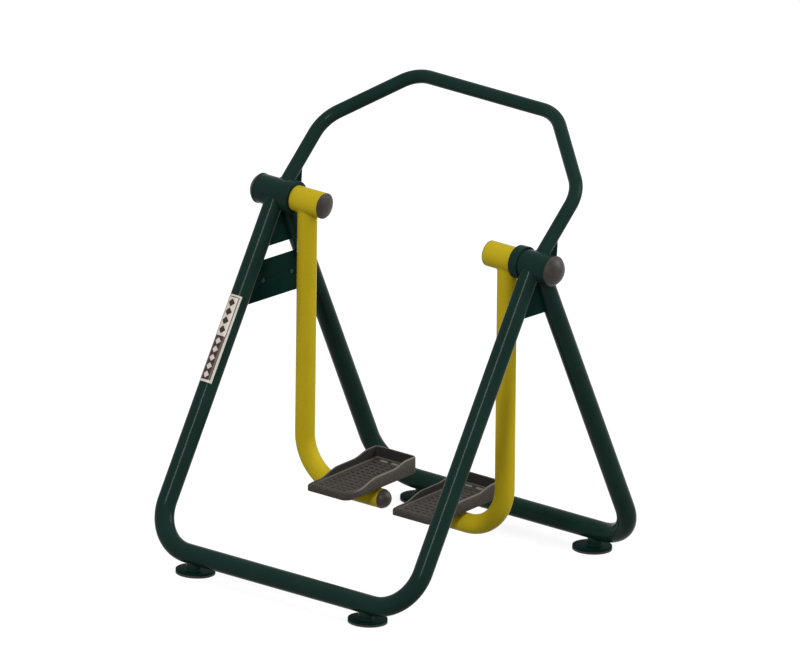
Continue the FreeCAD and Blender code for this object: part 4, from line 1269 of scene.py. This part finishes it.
def field(tree, across, along, inset, top, bottom):
    """One inside a box on the strip, which keeps an inset from both long edges."""
    half = LABEL_WRAP * STAND_TUBE_R / 2 / MILLIMETRE - inset
    return calc(tree, "MULTIPLY", between(tree, across, -half, half), between(tree, along, top, bottom))


def diamonds(tree, across, along, start, pitch, count, size):
    """Diamonds in a row: |across| / a + |along from the nearest centre| / b is under one."""
    cell = calc(tree, "SUBTRACT", along, start)
    cell = calc(tree, "SUBTRACT", calc(tree, "MODULO", cell, pitch), pitch / 2)
    flat = calc(tree, "MULTIPLY", calc(tree, "ABSOLUTE", across), 1 / size[0])
    tall = calc(tree, "MULTIPLY", calc(tree, "ABSOLUTE", cell), 1 / size[1])
    inside = calc(tree, "LESS_THAN", calc(tree, "ADD", flat, tall), 1.0)
    return calc(tree, "MULTIPLY", inside, between(tree, along, start, start + pitch * count))


def label_finish():
    """Gloss vinyl with its print. The dark ink covers the dark field, the border line and the upper
    diamonds, and the lower diamonds are left pale."""
    made = coated("printed_vinyl", tint(206, 199, 187), tint(198, 191, 180), patch=40.0, grain=600.0,
                  depth=0.01 * MILLIMETRE, rough=(0.25, 0.35), specular=0.15)
    tree = made.node_tree
    across, along = read_mark(tree, "across"), read_mark(tree, "along")
    length = LABEL_LENGTH / MILLIMETRE
    change = length * LABEL_TOP_SHARE
    line = calc(tree, "SUBTRACT", field(tree, across, along, LINE_IN, LINE_TOP, change),
                field(tree, across, along, LINE_IN + LINE_T, LINE_TOP + LINE_T, change))
    block = field(tree, across, along, BLOCK_IN, change, length - BLOCK_IN)
    dark_row = diamonds(tree, across, along, DARK_START, DARK_PITCH, DARK_COUNT, DARK_DIAMOND)
    pale_row = diamonds(tree, across, along, change + PALE_START, PALE_PITCH, PALE_COUNT, PALE_DIAMOND)
    ink = calc(tree, "ADD", calc(tree, "ADD", line, dark_row), calc(tree, "SUBTRACT", block, pale_row))
    shader = next(node for node in tree.nodes if node.type == "BSDF_PRINCIPLED")
    paper = shader.inputs["Base Color"].links[0].from_socket
    printed = add(tree, "ShaderNodeMix", {"Factor": ink, "A": paper, "B": INK_COLOUR},
                  data_type="RGBA", clamp_factor=True)
    tree.links.new(printed.outputs["Result"], shader.inputs["Base Color"])
    return made


label_vinyl = label_finish()
print("label finish has", len(label_vinyl.node_tree.nodes), "nodes")

# %% Label strip
LABEL_STEPS = (70, 60)
LABEL_SHARP = 40.0
down = leg_way(-1)
outward = np.array([0.0, -math.cos(LEG_LEAN), math.sin(LEG_LEAN)])
apex = HUB + np.array([-LEG_X, 0.0, LEG_CROSSING_RISE])
turn = np.linspace(-LABEL_WRAP / 2, LABEL_WRAP / 2, LABEL_STEPS[0])
place_down = np.linspace(0.0, LABEL_LENGTH, LABEL_STEPS[1])
low_r = STAND_TUBE_R + LABEL_GAP
arc = np.concatenate([turn, turn[::-1]])
arc_r = np.concatenate([np.full(len(turn), low_r + LABEL_T), np.full(len(turn), low_r)])
ring = arc_r[:, None] * (np.cos(arc)[:, None] * outward + np.sin(arc)[:, None] * np.array([1.0, 0.0, 0.0]))
strip = apex + (LABEL_START + place_down)[:, None, None] * down + ring[None]
label = into_scene("printed_label", strip, sharp=LABEL_SHARP)
keep_mark(label, "across", np.broadcast_to(arc * STAND_TUBE_R / MILLIMETRE, strip.shape[:2]))
keep_mark(label, "along", np.broadcast_to(place_down[:, None] / MILLIMETRE, strip.shape[:2]))
fit(label, "frame", label_vinyl, "label_vinyl", "label_strip")

# %% [markdown]
# ## Bolts, screws and stubs
# Two round-headed bolts hold the sign plate, each with a six-sided nut behind. They were painted over
# with the plate. The nut is a turned profile like the hubs, but its radius is multiplied by a
# hexagon's, so that one formula gives its flats, its corners and its chamfer.

# %% Sign bolts
bolt_low, bolt_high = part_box("sign_bolts")
plate_low, plate_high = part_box("sign_plate")
BOLT_HEAD_R = 0.0075
BOLT_SHANK_R = 0.004
BOLT_TIP_EASE = 0.0004
BOLT_TIP_STANDS = 0.0002
HEAD_FULLNESS = 0.7
HEAD_STEPS = 12
NUT_HALF = 0.0065
NUT_CHAMFER = 0.0012
NUT_CHAMFER_IN = 0.4
NUT_GAP = 0.00005


def about_x(profile, y, z, shape=None):
    """A profile of (x, r) points turned about a line along x. Shape scales each ring by angle."""
    angle = np.linspace(0.0, 2 * math.pi, RING_STEPS, endpoint=False)[None, :]
    r = profile[:, 1:] * (np.ones_like(angle) if shape is None else shape(angle))
    x = np.broadcast_to(profile[:, :1], r.shape)
    return np.stack([x, y + r * np.cos(angle), z + r * np.sin(angle)], -1)


def six_sided(angle):
    """A hexagon's radius over its half width: 1 / cos of the angle from the nearest flat's middle."""
    return 1 / np.cos(np.mod(angle, math.pi / 3) - math.pi / 6)


def bolt_pieces(y):
    """A round-headed bolt and its nut, in line. The nut's bore stays round."""
    z = (bolt_low.z + bolt_high.z) / 2
    end, face, back = bolt_low.x, plate_high.x, plate_low.x
    arch = np.linspace(0.0, math.pi / 2, HEAD_STEPS)
    head = np.stack([face + (bolt_high.x - face) * np.sin(arch),
                     BOLT_HEAD_R * np.cos(arch) ** HEAD_FULLNESS + POLE_R], -1)
    shank = np.array([(end, POLE_R), (end, BOLT_SHANK_R - BOLT_TIP_EASE),
                      (end + BOLT_TIP_EASE, BOLT_SHANK_R), (face, BOLT_SHANK_R)])
    bolt = into_scene("bolt", about_x(np.concatenate([shank, head]), y, z))
    bore, plain = BOLT_SHANK_R + NUT_GAP, NUT_HALF - NUT_CHAMFER * NUT_CHAMFER_IN
    profile = np.array([(end + BOLT_TIP_STANDS, bore), (end + BOLT_TIP_STANDS, plain),
                        (end + NUT_CHAMFER, NUT_HALF), (back - BOLT_TIP_EASE, NUT_HALF), (back, plain),
                        (back, bore)])
    nut_rows = about_x(profile, y, z, six_sided)
    nut_rows[[0, -1]] = about_x(profile, y, z)[[0, -1]]
    return [bolt, into_scene("nut", nut_rows, loop=True)]


bolt_y = bolt_high.y - BOLT_HEAD_R
fit(joined("sign_bolt_pair", bolt_pieces(-bolt_y) + bolt_pieces(bolt_y)), "frame", dark_zinc,
    "green_paint", "sign_bolts")

# %% [markdown]
# Each rail stands on a short stub of tube over its foot disc. The stub is welded to the disc, so a
# bead runs round it. The pedal screws are seen only from below and keep the frame's faces, eased.

# %% Stubs and pedal screws
STUB_R = 0.022
STUB_RING_STEPS = 90
around = np.linspace(0.0, 2 * math.pi, STUB_RING_STEPS, endpoint=False)
rail_from_middle = (HUB[2] + LEG_CROSSING_RISE - RAIL_HEIGHT) * math.tan(LEG_LEAN)
eased("foot_stub_tubes", "foot_stubs", STUB_EASE, "frame", green_paint, "green_paint")
for hand in SIDES:
    eased(f"{hand}_pedal_hex_screws", f"{hand}_pedal_screws", STUB_EASE, f"{hand}_arm", zinc,
          "zinc_steel")
    for end, side in (("rear", -1), ("front", 1)):
        low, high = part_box(f"{end}_{hand}_foot_flange")
        foot_x = (low.x + high.x) / 2
        stub_ring = np.stack([foot_x + STUB_R * np.cos(around),
                              side * (rail_from_middle + STUB_R * np.sin(around)),
                              np.full(STUB_RING_STEPS, high.z)], -1)
        bead(f"{end}_{hand}_stub_bead", stub_ring, "frame", green_paint, "green_paint")
